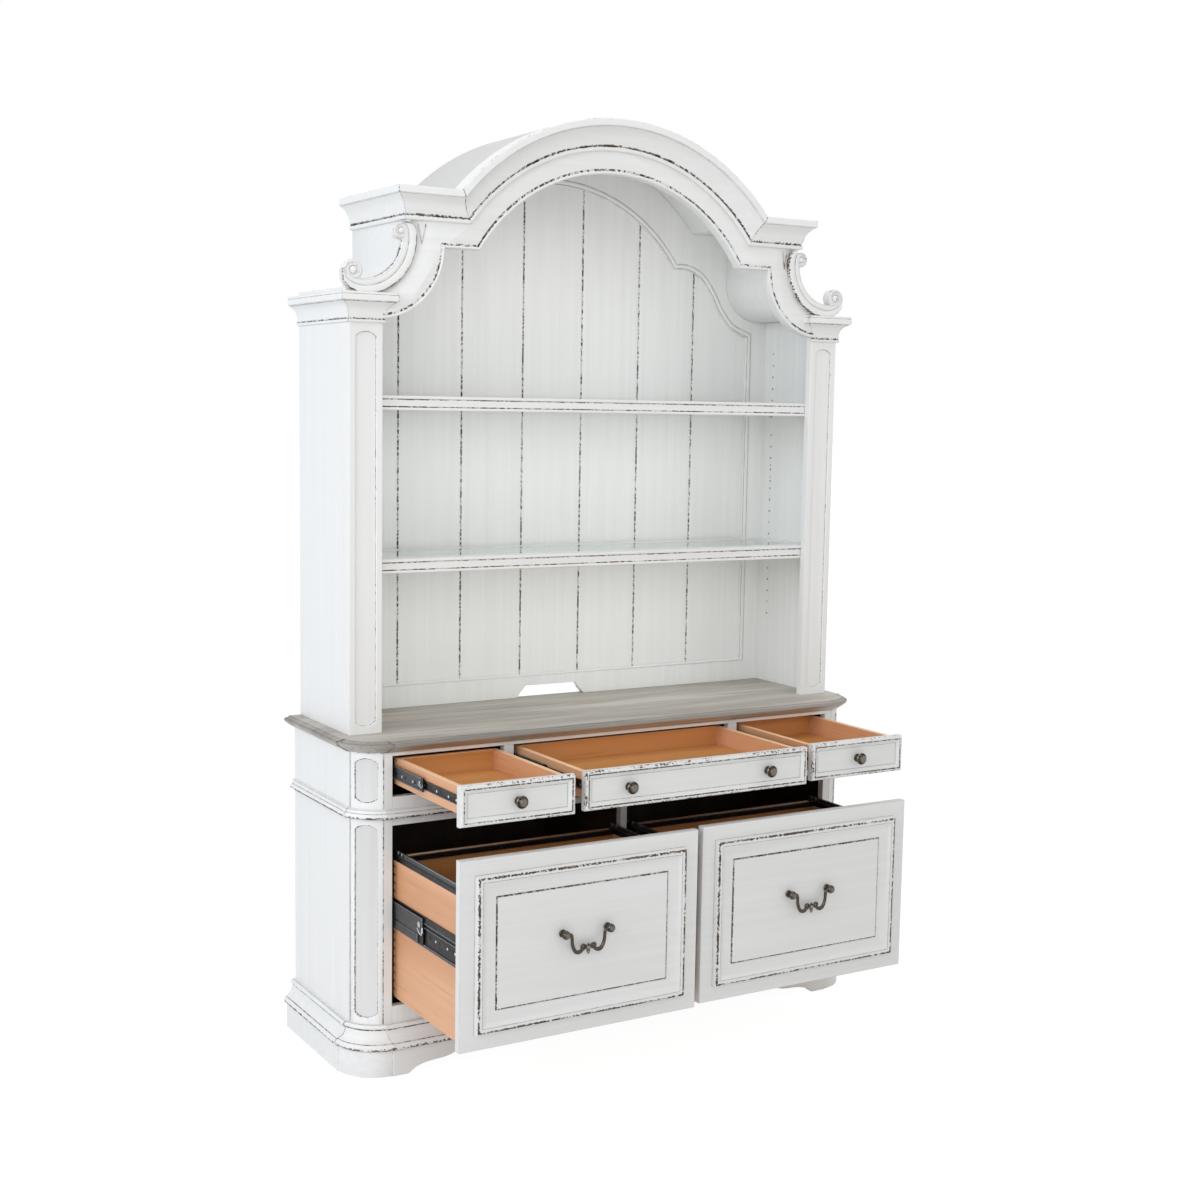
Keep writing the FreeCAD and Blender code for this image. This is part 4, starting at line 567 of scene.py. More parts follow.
def round_edges(bm, ease, rub, glaze, inside=0.3):
    """Round every sharp edge: outside edges may be rubbed, inside corners hold glaze."""
    limit = math.radians(SHARP_TURN)
    edges = [edge for edge in bm.edges if len(edge.link_faces) == 2 and edge.calc_face_angle(0.0) > limit]
    for face in rounded(bm, edges, ease):
        longest = max(face.edges, key=lambda edge: edge.calc_length())
        stamp(bm, [face], *((rub, 0.0) if longest.is_convex else (inside, glaze)))


def sunk_floors(bm):
    """The faces of every smooth patch whose whole border is an inside corner."""
    limit, left, floors = math.radians(SHARP_TURN), dict.fromkeys(bm.faces), []
    while left:
        patch, waiting, outside = [], [left.popitem()[0]], []
        while waiting:
            face = waiting.pop()
            patch.append(face)
            for edge in face.edges:
                for other in edge.link_faces:
                    if other is not face and edge.calc_face_angle(0.0) > limit:
                        outside.append(edge.is_convex)
                    elif other in left:
                        del left[other]
                        waiting.append(other)
        if outside and not any(outside):
            floors += patch
    return floors


def dressed(name, node, material, ease, rub, glaze, inside=0.2, floor=None):
    """A painted copy of one of the cabinet's CAD nodes, with another finish on its sunk floors if given."""
    bm = merged_copy(node)
    for face in sunk_floors(bm) if floor else ():
        face.material_index = 1
    round_edges(bm, ease, rub, glaze, inside)
    piece(name, bm, "cabinet", [material] + ([floor] if floor else []), [node])


print("edges are sharp from", SHARP_TURN, "degrees on")

# %% [markdown]
# The worktop, the waist moulding and the base moulding follow one plan: straight sides, a swelling canted
# corner with a small quirk at each end, and a straight front. Each row of a profile is that plan pushed
# out by the row's reach, so the mouldings keep their mitres at the quirks.

# %% The lobed plan
CASE_HALF, CASE_DEPTH = 0.708, 0.400
CANT_SIDE, CANT_FRONT = 0.345, 0.645
CORNER_BULGE, CORNER_QUIRK, LOBE_SPREAD = 0.006, 0.003, 0.6
LOBE_SHARES = (0.0, 0.015, 0.08, 0.17, 0.27, 0.38, 0.5, 0.62, 0.73, 0.83, 0.92, 0.985, 1.0)
# The plan's points at its quirks with their marks, and the share of a quirk that a moulding's back keeps.
QUIRK_COLUMNS = [(column, (0.75, 0.8)) for column in (2, 14, 17, 29)]
FLUSH = 0.1


def arc_through(first, middle, last, shares):
    """Points on the circle through three points, at shares of the way from the first to the last."""
    (ax, ay), (bx, by), (cx, cy) = first, middle, last
    twice = 2 * (ax * (by - cy) + bx * (cy - ay) + cx * (ay - by))
    a, b, c = ax * ax + ay * ay, bx * bx + by * by, cx * cx + cy * cy
    x = (a * (by - cy) + b * (cy - ay) + c * (ay - by)) / twice
    y = (a * (cx - bx) + b * (ax - cx) + c * (bx - ax)) / twice
    radius = math.dist((x, y), first)
    start, end = math.atan2(ay - y, ax - x), math.atan2(cy - y, cx - x)
    turn = (end - start + math.pi) % (2 * math.pi) - math.pi
    return [(x + radius * math.cos(start + share * turn), y + radius * math.sin(start + share * turn))
            for share in shares]


def mirrored(left):
    """The same points on the right side, in the order that carries on from the left."""
    return [Vector((-point.x, point.y, point.z)) for point in reversed(left)]


def lobed(reach, z, quirk=CORNER_QUIRK):
    """The plan from the left back corner round the front to the right back corner."""
    side, front = CASE_HALF + reach, CASE_DEPTH + reach
    start, end = CANT_SIDE - LOBE_SPREAD * reach, CANT_FRONT - LOBE_SPREAD * reach
    wide, deep = CASE_HALF - CANT_FRONT, CASE_DEPTH - CANT_SIDE
    swell = (reach + CORNER_BULGE) / math.hypot(wide, deep)
    middle = ((CASE_HALF + CANT_FRONT) / 2 + deep * swell, (CASE_DEPTH + CANT_SIDE) / 2 + wide * swell)
    half = [(side, 0.0), (side, start)]
    half += arc_through((side - quirk, start), middle, (end, front - quirk), LOBE_SHARES)
    half.append((end, front))
    left = [Vector((-x, -y, z)) for x, y in half]
    return left + mirrored(left)


def lobed_ring(rows, low):
    """A moulding around the case, open at the back, from profile rows in millimetres."""
    bm = blank()
    reach = CORNER_QUIRK * FLUSH
    lines = [lobed(reach, low + rows[0][1] * MM)]
    lines += [lobed(out * MM, low + up * MM) for out, up, rub, glaze in rows]
    lines.append(lobed(reach, low + rows[-1][1] * MM))
    marks = [(0.0, 0.0)] + [row[2:] for row in rows] + [(0.0, 0.0)]
    close_ends(bm, skin(bm, lines, marks, closed_profile=True, columns=QUIRK_COLUMNS))
    return bm


print("plan has", len(lobed(0.0, 0.0)), "points")

# %% [markdown]
# The worktop is one slab whose edge is an ogee over a round nose. The slab could be an extruded outline
# with a bevel, but the ogee needs its own rows, so the rows run from the underside out and up to the top.

# %% Worktop
WORKTOP_TOP, WORKTOP_THICK, WORKTOP_QUIRK = 0.787, 0.028, 0.0048
OGEE_EDGE = moulding(
    ("line", [(0.3, 0.0), (2.7, 0.0)]),
    ("curve", [(2.7, 0.0, 0, 0.5), (6.8, 1.4, 0, 0.3), (13.5, 5.6, 0, 0.2), (20.0, 10.6, 0, 0.1),
               (24.8, 14.6, 0, 0.2), (26.9, 18.2, 0, 0.5), (26.2, 21.3, 0, 0.9), (23.4, 22.9, 0, 1.0)]),
    ("line", [(23.4, 22.9, 0, 0.9), (22.6, 23.6, 0, 1.0)]),
    ("curve", [(22.6, 23.6, 0, 1.0), (19.6, 23.9, 0, 0.5), (16.4, 25.0, 0, 0.5), (14.6, 26.6, 0, 0.9)]),
    ("line", [(14.6, 26.6, 0, 1.0), (13.2, 28.0, 0, 0.6), (4.0, 28.0, 0, 0.0)]),
)
bm = blank()
edge_rows = [lobed(out * MM, WORKTOP_TOP - WORKTOP_THICK + up * MM, WORKTOP_QUIRK)
             for out, up, rub, glaze in OGEE_EDGE]
edge_marks = [row[2:] for row in OGEE_EDGE]
close_rings(bm, skin(bm, edge_rows, edge_marks, closed_path=True, columns=QUIRK_COLUMNS))
piece("worktop", bm, "cabinet", [worktop_wood], ["credenza_top"])
print("worktop edge rows:", len(OGEE_EDGE))

# %% [markdown]
# The waist moulding is a bead under a small fillet, and the base moulding a bead, a cove and a round nose.
# The glaze sits in the quirks beside the beads, and the paint is rubbed where a hand or a broom meets them.

# %% Waist and base mouldings
WAIST_LOW, BASE_LOW = 0.604, 0.062
WAIST = moulding(
    ("curve", [(3.0, 0.0, 0.9, 0.8), (8.6, 1.0, 0.88, 0.6), (11.2, 3.6, 0.86, 0.4), (11.7, 6.2, 0.72, 0.1),
               (11.4, 9.0), (9.0, 12.4)]),
    ("line", [(9.0, 12.4), (6.6, 13.2, 0.75, 1.0), (6.9, 14.4)]),
    ("curve", [(6.9, 14.4), (7.2, 17.6), (6.4, 20.4)]),
    ("line", [(6.4, 20.4), (4.6, 21.2, 0.4, 0.9), (4.2, 23.2), (3.2, 24.0, 0.3, 0.5)]),
)
BASE = moulding(
    ("curve", [(23.4, 0.0, 1.1, 0.9), (27.6, 1.8, 0.9, 0.5), (29.5, 5.0, 0.84, 0.2), (29.8, 8.4, 0.6),
               (29.0, 12.8), (26.2, 16.2)]),
    ("line", [(26.2, 16.2, 0.5, 0.4), (24.2, 16.8, 1.0, 1.0), (24.0, 18.4, 0.6, 0.4)]),
    ("curve", [(24.0, 18.4), (19.8, 21.6), (15.0, 26.8), (11.2, 33.6), (9.2, 40.6), (8.8, 45.2)]),
    ("line", [(8.8, 45.2, 0.85, 0.5), (7.6, 46.6, 1.0, 1.0), (9.4, 47.8, 0.85, 0.4)]),
    ("curve", [(9.4, 47.8, 0.85, 0.4), (12.4, 50.4), (12.2, 54.4), (9.6, 57.4)]),
    ("line", [(9.6, 57.4), (6.4, 58.2, 0.5, 0.9), (3.0, 59.0)]),
)
for name, rows, low, node in (("waist_bead", WAIST, WAIST_LOW, "waist_moulding"),
                              ("base_mould", BASE, BASE_LOW, "base_moulding")):
    piece(name, lobed_ring(rows, low), "cabinet", [paint_along], [node])
print("waist rows", len(WAIST), "base rows", len(BASE))

# %% [markdown]
# The plinth boards, corner posts, side panels and the rest of the case are right as the CAD has them, so
# they are copied and their edges eased. The sunk panels on the posts get their dark outline from the marks
# on inside corners, and their floors the greyer paint, which is painted shade for the recess. The inner
# faces of the side panels get the near-black carcase finish, painted shade for the dark inside of the case.

# %% Plinth, posts and side panels
dressed("plinth_boards", "plinth_skirt", paint_along, 1.2, 0.55, 0.9)
dressed("plinth_feet", "plinth_apron", paint_along, 1.2, 0.45, 0.9)
for side, outward in (("left", -1), ("right", 1)):
    # The posts' sunk floors take the greyer paint: painted shade for the recess.
    dressed(side + "_post", side + "_corner_post", paint_upright, 1.3, 0.60, 1.0, 0.78, paint_sunk_shaded)
    panel = merged_copy(side + "_side_panel")
    round_edges(panel, 1.0, 0.3, 0.6)
    for face in panel.faces:
        face.normal_update()
        # Faces that look into the case take the near-black carcase finish, which is painted shade.
        face.material_index = int(face.normal.x * outward < -FACING)
    finishes = [paint_upright, carcase_painted_shade]
    piece(side + "_panel", panel, "cabinet", finishes, [side + "_side_panel"])
    dressed(side + "_hutch_panel", "hutch_%s_side" % side, paint_upright, 1.0, 0.3, 0.6)
print(len(made), "pieces so far")

# %% [markdown]
# The face frame is eight boards. Copied from the CAD they would share faces where they meet, so they
# are laid out again as eased boards, which leaves the hairline joints of a real frame.

# %% Face frame
FRAME_BACK, FRAME_FRONT = -380.0, -400.0
frame_bm = blank()
STILES_AND_RAILS = (
    ((-645, 0), (-624, 759)), ((624, 0), (645, 759)),
    ((-624, 750), (624, 759)), ((-624, 588), (624, 655)), ((-624, 100), (624, 160)),
    ((-337, 655), (-311, 750)), ((311, 655), (337, 750)), ((-9, 160), (9, 588)),
)
for (left, low), (right, high) in STILES_AND_RAILS:
    board(frame_bm, (left, FRAME_FRONT, low), (right, FRAME_BACK, high), 0.9, 0.4, 0.25)
piece("stiles_and_rails", frame_bm, "cabinet", [paint_upright], ["face_frame"])
print("face frame of", len(STILES_AND_RAILS), "boards")

# %% [markdown]
# What can be seen inside the case is plain board: these CAD nodes keep their shape and only get the
# carcase finish on their material slots, a near-black that is painted shade for the dark inside of the case.

# %% Inside of the case
INNER_BOARDS = ("case_bottom_panel", "centre_partition", "drawer_web_and_dividers", "slide_cleats",
                "case_back_panel")
for node in INNER_BOARDS:
    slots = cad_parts[node].data.materials
    slots.clear()
    slots.append(carcase_painted_shade)
print("carcase finish on", len(INNER_BOARDS), "inner boards")

# %% [markdown]
# Pilasters carry one long sunk panel each. The roof vault and the coved shoulders are also copied, with
# small easing. The top of the vault gets the greyer paint as painted shade: a face belongs to the top if it
# looks away from the arch's axis.

# %% Pilasters, vault and shoulders
ARCH_HEIGHT, LOOKS_AWAY = 1.672, 0.7
for side in ("left", "right"):
    dressed(side + "_pilaster_board", side + "_pilaster", paint_upright, 1.2, 0.40, 1.0, 0.50)
vault = merged_copy("vault_roof")
round_edges(vault, 1.0, 0.45, 0.7)
for face in vault.faces:
    face.normal_update()
    outward = face.calc_center_median() - Vector((0.0, 0.0, ARCH_HEIGHT))
    outward.y = 0.0
    # A face on the top of the vault takes the greyer paint: painted shade.
    if face.normal.dot(outward.normalized()) > LOOKS_AWAY:
        face.material_index = 1
piece("vault", vault, "cabinet", [paint_along, paint_vault_top_shade], ["vault_roof"])
dressed("coved_shoulders", "shoulder_panels", paint_along, 1.0, 0.45, 0.7)
print(len(made), "pieces so far")

# %% [markdown]
# The capitals are a bead, a cove and a square cap that run round the pilaster: from the back along the
# side, across the front, and a short return into the fascia. Each row is that path pushed out by the row's
# reach.

# %% Capitals
HUTCH_HALF, PILASTER_INNER = 0.693, 0.611
PILASTER_FRONT, FASCIA_FRONT = 0.310, 0.316
CAPITAL_LOW, CAPITAL_LINE = 1.730, 3.0
CAPITAL_MITRES = [(2, (0.7, 0.5)), (5, (0.6, 0.5))]      # columns at the corners, with their marks
CAPITAL = moulding(
    ("line", [(0.0, 0.0), (1.6, 0.0, 0.5, 0.8)]),
    ("curve", [(1.6, 0.0, 0.5, 0.8), (5.2, 1.0), (6.4, 3.6), (5.6, 6.4, 0.8, 0.4)]),
    ("line", [(5.6, 6.4, 0.8, 0.4), (3.8, 7.4, 0.95, 0.8), (4.4, 8.8, 0.86, 0.4)]),
    ("curve", [(4.4, 8.8, 0.86, 0.3), (4.3, 11.4, 0.5, 0.1), (4.4, 18.8), (7.0, 29.4), (12.8, 38.6),
               (21.6, 44.8)]),
    ("line", [(21.6, 44.8), (23.6, 45.8, 0.9, 1.0), (24.4, 47.2), (28.0, 47.4, 0.6, 0.6), (28.0, 60.6),
              (27.2, 61.4, 0.85, 1.0), (28.0, 62.4), (27.6, 66.0), (26.6, 67.0, 0.75, 0.2), (0.0, 67.0)]),
)


def capital_row(out, up, side):
    """One line of a capital, from the back to the return beside the fascia."""
    x, y, z = HUTCH_HALF + out * MM, PILASTER_FRONT + out * MM, CAPITAL_LOW + up * MM
    inner = PILASTER_INNER - out * MM
    near, end = CAPITAL_LINE * MM, min(y, FASCIA_FRONT)
    corners = ((x, 0.0), (x, y - near), (x, y), (x - near, y), (inner + near, y), (inner, y), (inner, end))
    return [Vector((side * a, -b, z)) for a, b in corners]


capital_bm = blank()
capital_marks = [row[2:] for row in CAPITAL]
for side in (-1, 1):
    lines = [capital_row(out, up, side) for out, up, rub, glaze in CAPITAL]
    close_ends(capital_bm, skin(capital_bm, lines, capital_marks, closed_profile=True,
                                columns=CAPITAL_MITRES))
piece("pilaster_caps", capital_bm, "cabinet", [paint_along], ["capitals"])
print("capital rows", len(CAPITAL))

# %% [markdown]
# The crown is the same idea on a longer path: along the left side, round the corner, along a level ledge,
# up and over the arch, and down again. On the ledge a row is higher by its height in the profile, and on
# the arch it has a larger radius, so ledge and arch meet in a true mitre where the two rules give the same
# point.

# %% Crown
CROWN_ARCH, CROWN_LEDGE, UPPER_HALF = 0.491, 1.964, 0.556
ARCH_STEPS, MITRE_LINE, MITRE_MARKS = 36, 3.0, (0.78, 0.5)
CROWN = moulding(
    ("line", [(0.0, 0.0), (3.4, 0.0, 0.4, 0.9)]),
    ("curve", [(3.4, 0.0, 0.4, 0.9), (6.4, 1.2), (7.9, 4.8), (7.2, 8.6, 0.5, 0.1), (5.6, 10.2, 0.85, 0.4)]),
    ("line", [(5.6, 10.2, 0.85, 0.4), (4.2, 11.4, 0.98, 0.7), (6.0, 12.8, 0.9, 0.4)]),
    ("curve", [(6.0, 12.8, 0.9, 0.3), (6.5, 15.4, 0.5, 0.1), (8.0, 21.0), (11.0, 32.0), (16.2, 42.0),
               (24.2, 50.6), (29.6, 54.4)]),
    ("line", [(29.6, 54.4), (30.6, 55.2, 0.5, 1.0), (31.2, 56.2), (34.0, 56.6, 0.5, 0.4), (34.0, 71.0),
              (32.8, 73.0, 0.65, 0.1), (0.0, 73.0)]),
)


def crown_row(out, up):
    """One line of the crown from the left back end to the right back end."""
    x, y = UPPER_HALF + out * MM, -(FASCIA_FRONT + out * MM)
    z, radius = CROWN_LEDGE + up * MM, CROWN_ARCH + up * MM
    start = math.asin((z - ARCH_HEIGHT) / radius)
    steps = [0, 0.25] + list(range(1, ARCH_STEPS + 1))
    turns = [start + step * (math.pi / 2 - start) / ARCH_STEPS for step in steps]
    arch = [Vector((-radius * math.cos(turn), y, ARCH_HEIGHT + radius * math.sin(turn))) for turn in turns]
    near = MITRE_LINE * MM
    left = [Vector((-x, 0.0, z)), Vector((-x, y + near, z)), Vector((-x, y, z)), Vector((-x + near, y, z)),
            arch[0] - Vector((near, 0.0, 0.0))] + arch
    return left + mirrored(left[:-1])


crown_bm = blank()
crown_lines = [crown_row(out, up) for out, up, rub, glaze in CROWN]
crown_last = len(crown_lines[0]) - 1
crown_mitres = [(column, MITRE_MARKS) for column in (2, 5, crown_last - 5, crown_last - 2)]
close_ends(crown_bm, skin(crown_bm, crown_lines, [row[2:] for row in CROWN], closed_profile=True,
                          columns=crown_mitres))
piece("crown", crown_bm, "cabinet", [paint_along], ["crown_moulding"])
print("crown rows", len(CROWN), "by", len(crown_lines[0]))

# %% [markdown]
# The fascia and the back frame are right in the CAD, but their shaped openings are finished with a bead
# that the CAD leaves out. A bead that follows a path is work for Geometry Nodes: the tree takes a line of
# edges, sweeps a round or flattened bar along it and stores the wear marks. With other sizes the same
# tree makes the beads, the flat glazed quirks beside them and the dark lines on other pieces.

# %% A bead along an edge
def tree_input(tree, name, kind, value):
    socket = tree.interface.new_socket(name=name, in_out="INPUT", socket_type="NodeSocket" + kind)
    if value is not None:
        socket.default_value = value
    return socket.identifier


class Tree:
    """A Geometry Nodes tree being built, with short ways to add and link nodes."""

    def __init__(self, name, **sizes):
        self.tree = bpy.data.node_groups.new(name, "GeometryNodeTree")
        self.names = {"Geometry": tree_input(self.tree, "Geometry", "Geometry", None)}
        for size, value in sizes.items():
            kind = "Int" if isinstance(value, int) else "Material" if value is None else "Float"
            self.names[size] = tree_input(self.tree, size, kind, value)
        self.tree.interface.new_socket(name="Geometry", in_out="OUTPUT", socket_type="NodeSocketGeometry")
        self.given = self.tree.nodes.new("NodeGroupInput").outputs

    def add(self, kind, settings=(), **sockets):
        node = self.tree.nodes.new(kind)
        for name, value in dict(settings).items():
            setattr(node, name, value)
        for name, value in sockets.items():
            spaced = name.replace("_", " ")
            socket = node.inputs[spaced if spaced in node.inputs else name]
            if isinstance(value, bpy.types.NodeSocket):
                self.tree.links.new(value, socket)
            else:
                socket.default_value = value
        return node

    def end(self, geometry):
        realized = self.add("GeometryNodeRealizeInstances", Geometry=geometry)
        painted = self.add("GeometryNodeSetMaterial", Geometry=realized.outputs[0],
                           Material=self.given["finish"])
        self.tree.links.new(painted.outputs[0], self.tree.nodes.new("NodeGroupOutput").inputs[0])

    def grow(self, name, verts, edges, body, slot, **values):
        """Run the tree on points or edges in metres and keep its result as a plain mesh on one body."""
        mesh = bpy.data.meshes.new(name)
        mesh.from_pydata(verts, edges, [])
        item = bpy.data.objects.new(name, mesh)
        scene.collection.objects.link(item)
        modifier = item.modifiers.new("grow", "NODES")
        modifier.node_group = self.tree
        for size, value in values.items():
            modifier[self.names[size]] = value
        bpy.context.view_layer.update()
        result = bpy.data.meshes.new_from_object(item.evaluated_get(bpy.context.evaluated_depsgraph_get()))
        item.modifiers.clear()
        item.data = result
        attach(item, body)
        made.append(item)
        print(name, "has", len(result.polygons), "faces")


def stored(tree, geometry, **marks):
    """Store wear marks on every point, as plain numbers or from the tree's own inputs."""
    for name, value in marks.items():
        node = tree.add("GeometryNodeStoreNamedAttribute", {"data_type": "FLOAT", "domain": "POINT"},
                        Geometry=geometry, Name=name, Value=value)
        geometry = node.outputs[0]
    return geometry


bead_tree = Tree("bead_along_edge", radius=0.0025, flatness=1.0, rub=0.0, glaze=0.0, finish=None)
given = bead_tree.given
line = bead_tree.add("GeometryNodeMeshToCurve", Mesh=given["Geometry"])
ring = bead_tree.add("GeometryNodeCurvePrimitiveCircle", Resolution=12, Radius=given["radius"])
squeeze = bead_tree.add("ShaderNodeCombineXYZ", X=given["flatness"], Y=1.0, Z=1.0)
oval = bead_tree.add("GeometryNodeTransform", Geometry=ring.outputs["Curve"], Scale=squeeze.outputs[0])
swept = bead_tree.add("GeometryNodeCurveToMesh", Curve=line.outputs["Curve"], Profile_Curve=oval.outputs[0],
                      Fill_Caps=True)
smooth = bead_tree.add("GeometryNodeSetShadeSmooth", Geometry=swept.outputs[0])
bead_tree.end(stored(bead_tree, smooth.outputs[0], rub=given["rub"], glaze=given["glaze"]))
print("tree:", bead_tree.tree.name, "inputs", sorted(bead_tree.names))

# %% [markdown]
# The paths: the fascia's opening goes up a rounded spandrel, along a ledge and over the arch. The back
# frame's opening goes up the stile, along an ogee to a cusp, and over its own arch. A line beside such a
# path is the path pushed over along its corners' bisectors.

# %% Openings of the fascia and the back frame
OPENING_ARCH, OPENING_LEDGE = 0.438, 1.907
SPANDREL_MIDDLE, SPANDREL_RADIUS, SPANDREL_STEPS = 0.627, 0.167, 20
BACK_ARCH, BACK_CUSP, BACK_STILE, BACK_OGEE_LOW, BACK_RAIL_HIGH = 0.444, 0.367, 0.612, 1.749, 0.846
BACK_FRONT, OGEE_STEPS = 0.020, 8
OGEE_SHARES = ((0.0, 1.0), (0.18, 1.00), (0.36, 0.88), (0.50, 0.64), (0.62, 0.36), (0.78, 0.13), (1.0, 0.0))
TOUCHING, MITRE_LIMIT = 1e-6, 0.25


def both_sides(left):
    return left + [(-x, z) for x, z in reversed(left)]


def arch_points(radius, level):
    """The left half of an arch from a level up to its crown."""
    start = math.asin((level - ARCH_HEIGHT) / radius)
    turns = [start + step * (math.pi / 2 - start) / ARCH_STEPS for step in range(ARCH_STEPS)]
    return [(-radius * math.cos(turn), ARCH_HEIGHT + radius * math.sin(turn)) for turn in turns]


def fascia_opening():
    first = math.acos((SPANDREL_MIDDLE - PILASTER_INNER) / SPANDREL_RADIUS)
    turns = [-first * (1 - step / SPANDREL_STEPS) for step in range(SPANDREL_STEPS + 1)]
    left = [(-SPANDREL_MIDDLE + SPANDREL_RADIUS * math.cos(turn),
             OPENING_LEDGE + SPANDREL_RADIUS * math.sin(turn)) for turn in turns]
    left += arch_points(OPENING_ARCH, OPENING_LEDGE) + [(0.0, ARCH_HEIGHT + OPENING_ARCH)]
    return both_sides(left)


def back_opening():
    cusp = ARCH_HEIGHT + math.sqrt(BACK_ARCH ** 2 - BACK_CUSP ** 2)
    fall, run = cusp - BACK_OGEE_LOW, BACK_STILE - BACK_CUSP
    ogee = [(-BACK_CUSP - a * run, BACK_OGEE_LOW + u * fall) for a, u in OGEE_SHARES]
    smooth = [tuple(on_curve(ogee, index, step / OGEE_STEPS))
              for index in range(len(ogee) - 1) for step in range(OGEE_STEPS)]
    left = [(-BACK_STILE, BACK_RAIL_HIGH), (-BACK_STILE, BACK_OGEE_LOW)] + smooth[:0:-1]
    return both_sides(left + arch_points(BACK_ARCH, cusp) + [(0.0, ARCH_HEIGHT + BACK_ARCH)])


def beside(path, gap):
    """The path pushed into the wood around the opening by gap, in metres."""
    path = [point for point, after in zip(path, path[1:]) if math.dist(point, after) > TOUCHING] + path[-1:]
    result = []
    for before, here, after in zip([path[0]] + path, path, path[1:] + [path[-1]]):
        sides = []
        for start, end in ((before, here), (here, after)):
            length = math.dist(start, end)
            if length > 0:
                sides.append((-(end[1] - start[1]) / length, (end[0] - start[0]) / length))
        x, z = sum(side[0] for side in sides) / len(sides), sum(side[1] for side in sides) / len(sides)
        scale = gap / max(x * x + z * z, MITRE_LIMIT)
        result.append((here[0] + x * scale, here[1] + z * scale))
    return result


def beading(name, path, gap, depth, closed, **values):
    """A bead or line beside an opening, on the upright face at that depth."""
    points = [(x, -depth, z) for x, z in beside(path, gap)]
    edges = [(k, k + 1) for k in range(len(points) - 1)]
    if closed:
        edges.append((len(points) - 1, 0))
    bead_tree.grow(name, points, edges, "cabinet", "white_paint", **values)


BEADS = (
    # name, gap from the opening, radius, flatness, rub, glaze
    ("fascia_bead", 0.0032, 0.0034, 0.62, 0.0, 0.0),
    ("fascia_quirk", 0.0082, 0.0034, 0.12, 0.74, 0.3),
    ("back_bead", 0.0068, 0.0048, 0.55, 0.0, 0.0),
    ("back_quirk_0", 0.0008, 0.0013, 0.2, 0.3, 1.0),
    ("back_quirk_1", 0.0128, 0.0013, 0.2, 0.3, 1.0),
)
dressed("arched_board", "arched_fascia", paint_along, 1.4, 0.5, 0.8)
dressed("back_frame", "hutch_back_frame", paint_upright, 1.0, 0.35, 0.8)
for name, gap, radius, flatness, rub, glaze in BEADS:
    on_back = name.startswith("back")
    path, depth, finish = (back_opening(), BACK_FRONT, paint_upright) if on_back else \
        (fascia_opening(), FASCIA_FRONT, paint_along)
    beading(name, path, gap, depth, on_back, radius=radius, flatness=flatness, rub=rub, glaze=glaze,
            finish=finish)

# %% [markdown]
# Where a corner post meets the side panel and the face frame there is a narrow quirk, and the glaze has
# settled in it as a dark upright line. The bead tree draws it too, as a thin round bar below and above the
# waist moulding, with stronger marks beside the face frame than beside the side panel.

# %% Quirks of the corner posts
QUIRK_SHARE, QUIRK_RADIUS = 0.6, 0.0016
POST_QUIRKS = (
    # name, across, deep, rub, glaze
    ("side_quirks", CASE_HALF - QUIRK_SHARE * CORNER_QUIRK, CANT_SIDE, 0.40, 0.5),
    ("frame_quirks", CANT_FRONT, CASE_DEPTH - QUIRK_SHARE * CORNER_QUIRK, 0.68, 0.9),
)
QUIRK_RUNS = ((BASE_LOW + BASE[-1][1] * MM, WAIST_LOW),
              (WAIST_LOW + WAIST[-1][1] * MM, WORKTOP_TOP - WORKTOP_THICK))
for name, x, y, rub, glaze in POST_QUIRKS:
    points, edges = [], []
    for side in (-1, 1):
        for low, high in QUIRK_RUNS:
            edges.append((len(points), len(points) + 1))
            points += [(side * x, -y, low), (side * x, -y, high)]
    bead_tree.grow(name, points, edges, "cabinet", "white_paint", radius=QUIRK_RADIUS, rub=rub, glaze=glaze,
                   finish=paint_upright)

# %% [markdown]
# The back is seven planks with V joints. The joints are in the CAD, so the copy only needs its marks: the
# slanting faces of a V are where the paint is rubbed through most.

# %% Back planks
V_LOW, V_HIGH, V_MARKS = 0.2, 0.95, (0.70, 0.35)
planks = merged_copy("back_planks")
for face in planks.faces:
    face.normal_update()
    if V_LOW < abs(face.normal.x) < V_HIGH and abs(face.normal.z) < V_LOW:
        stamp(planks, [face], *V_MARKS)
piece("plank_back", planks, "cabinet", [paint_upright], ["back_planks"], bend=20.0)
print(len(made), "pieces so far")

# %% [markdown]
# A C-scroll fills each shoulder: a flat band with a rolled outer edge and an incised line, which narrows
# and curls into a volute at both ends. The band is skinned over rows from its outer to its inner edge, and
# each volute is a spiral ridge around a raised eye. A small V of two dark lines marks the scroll's tip.

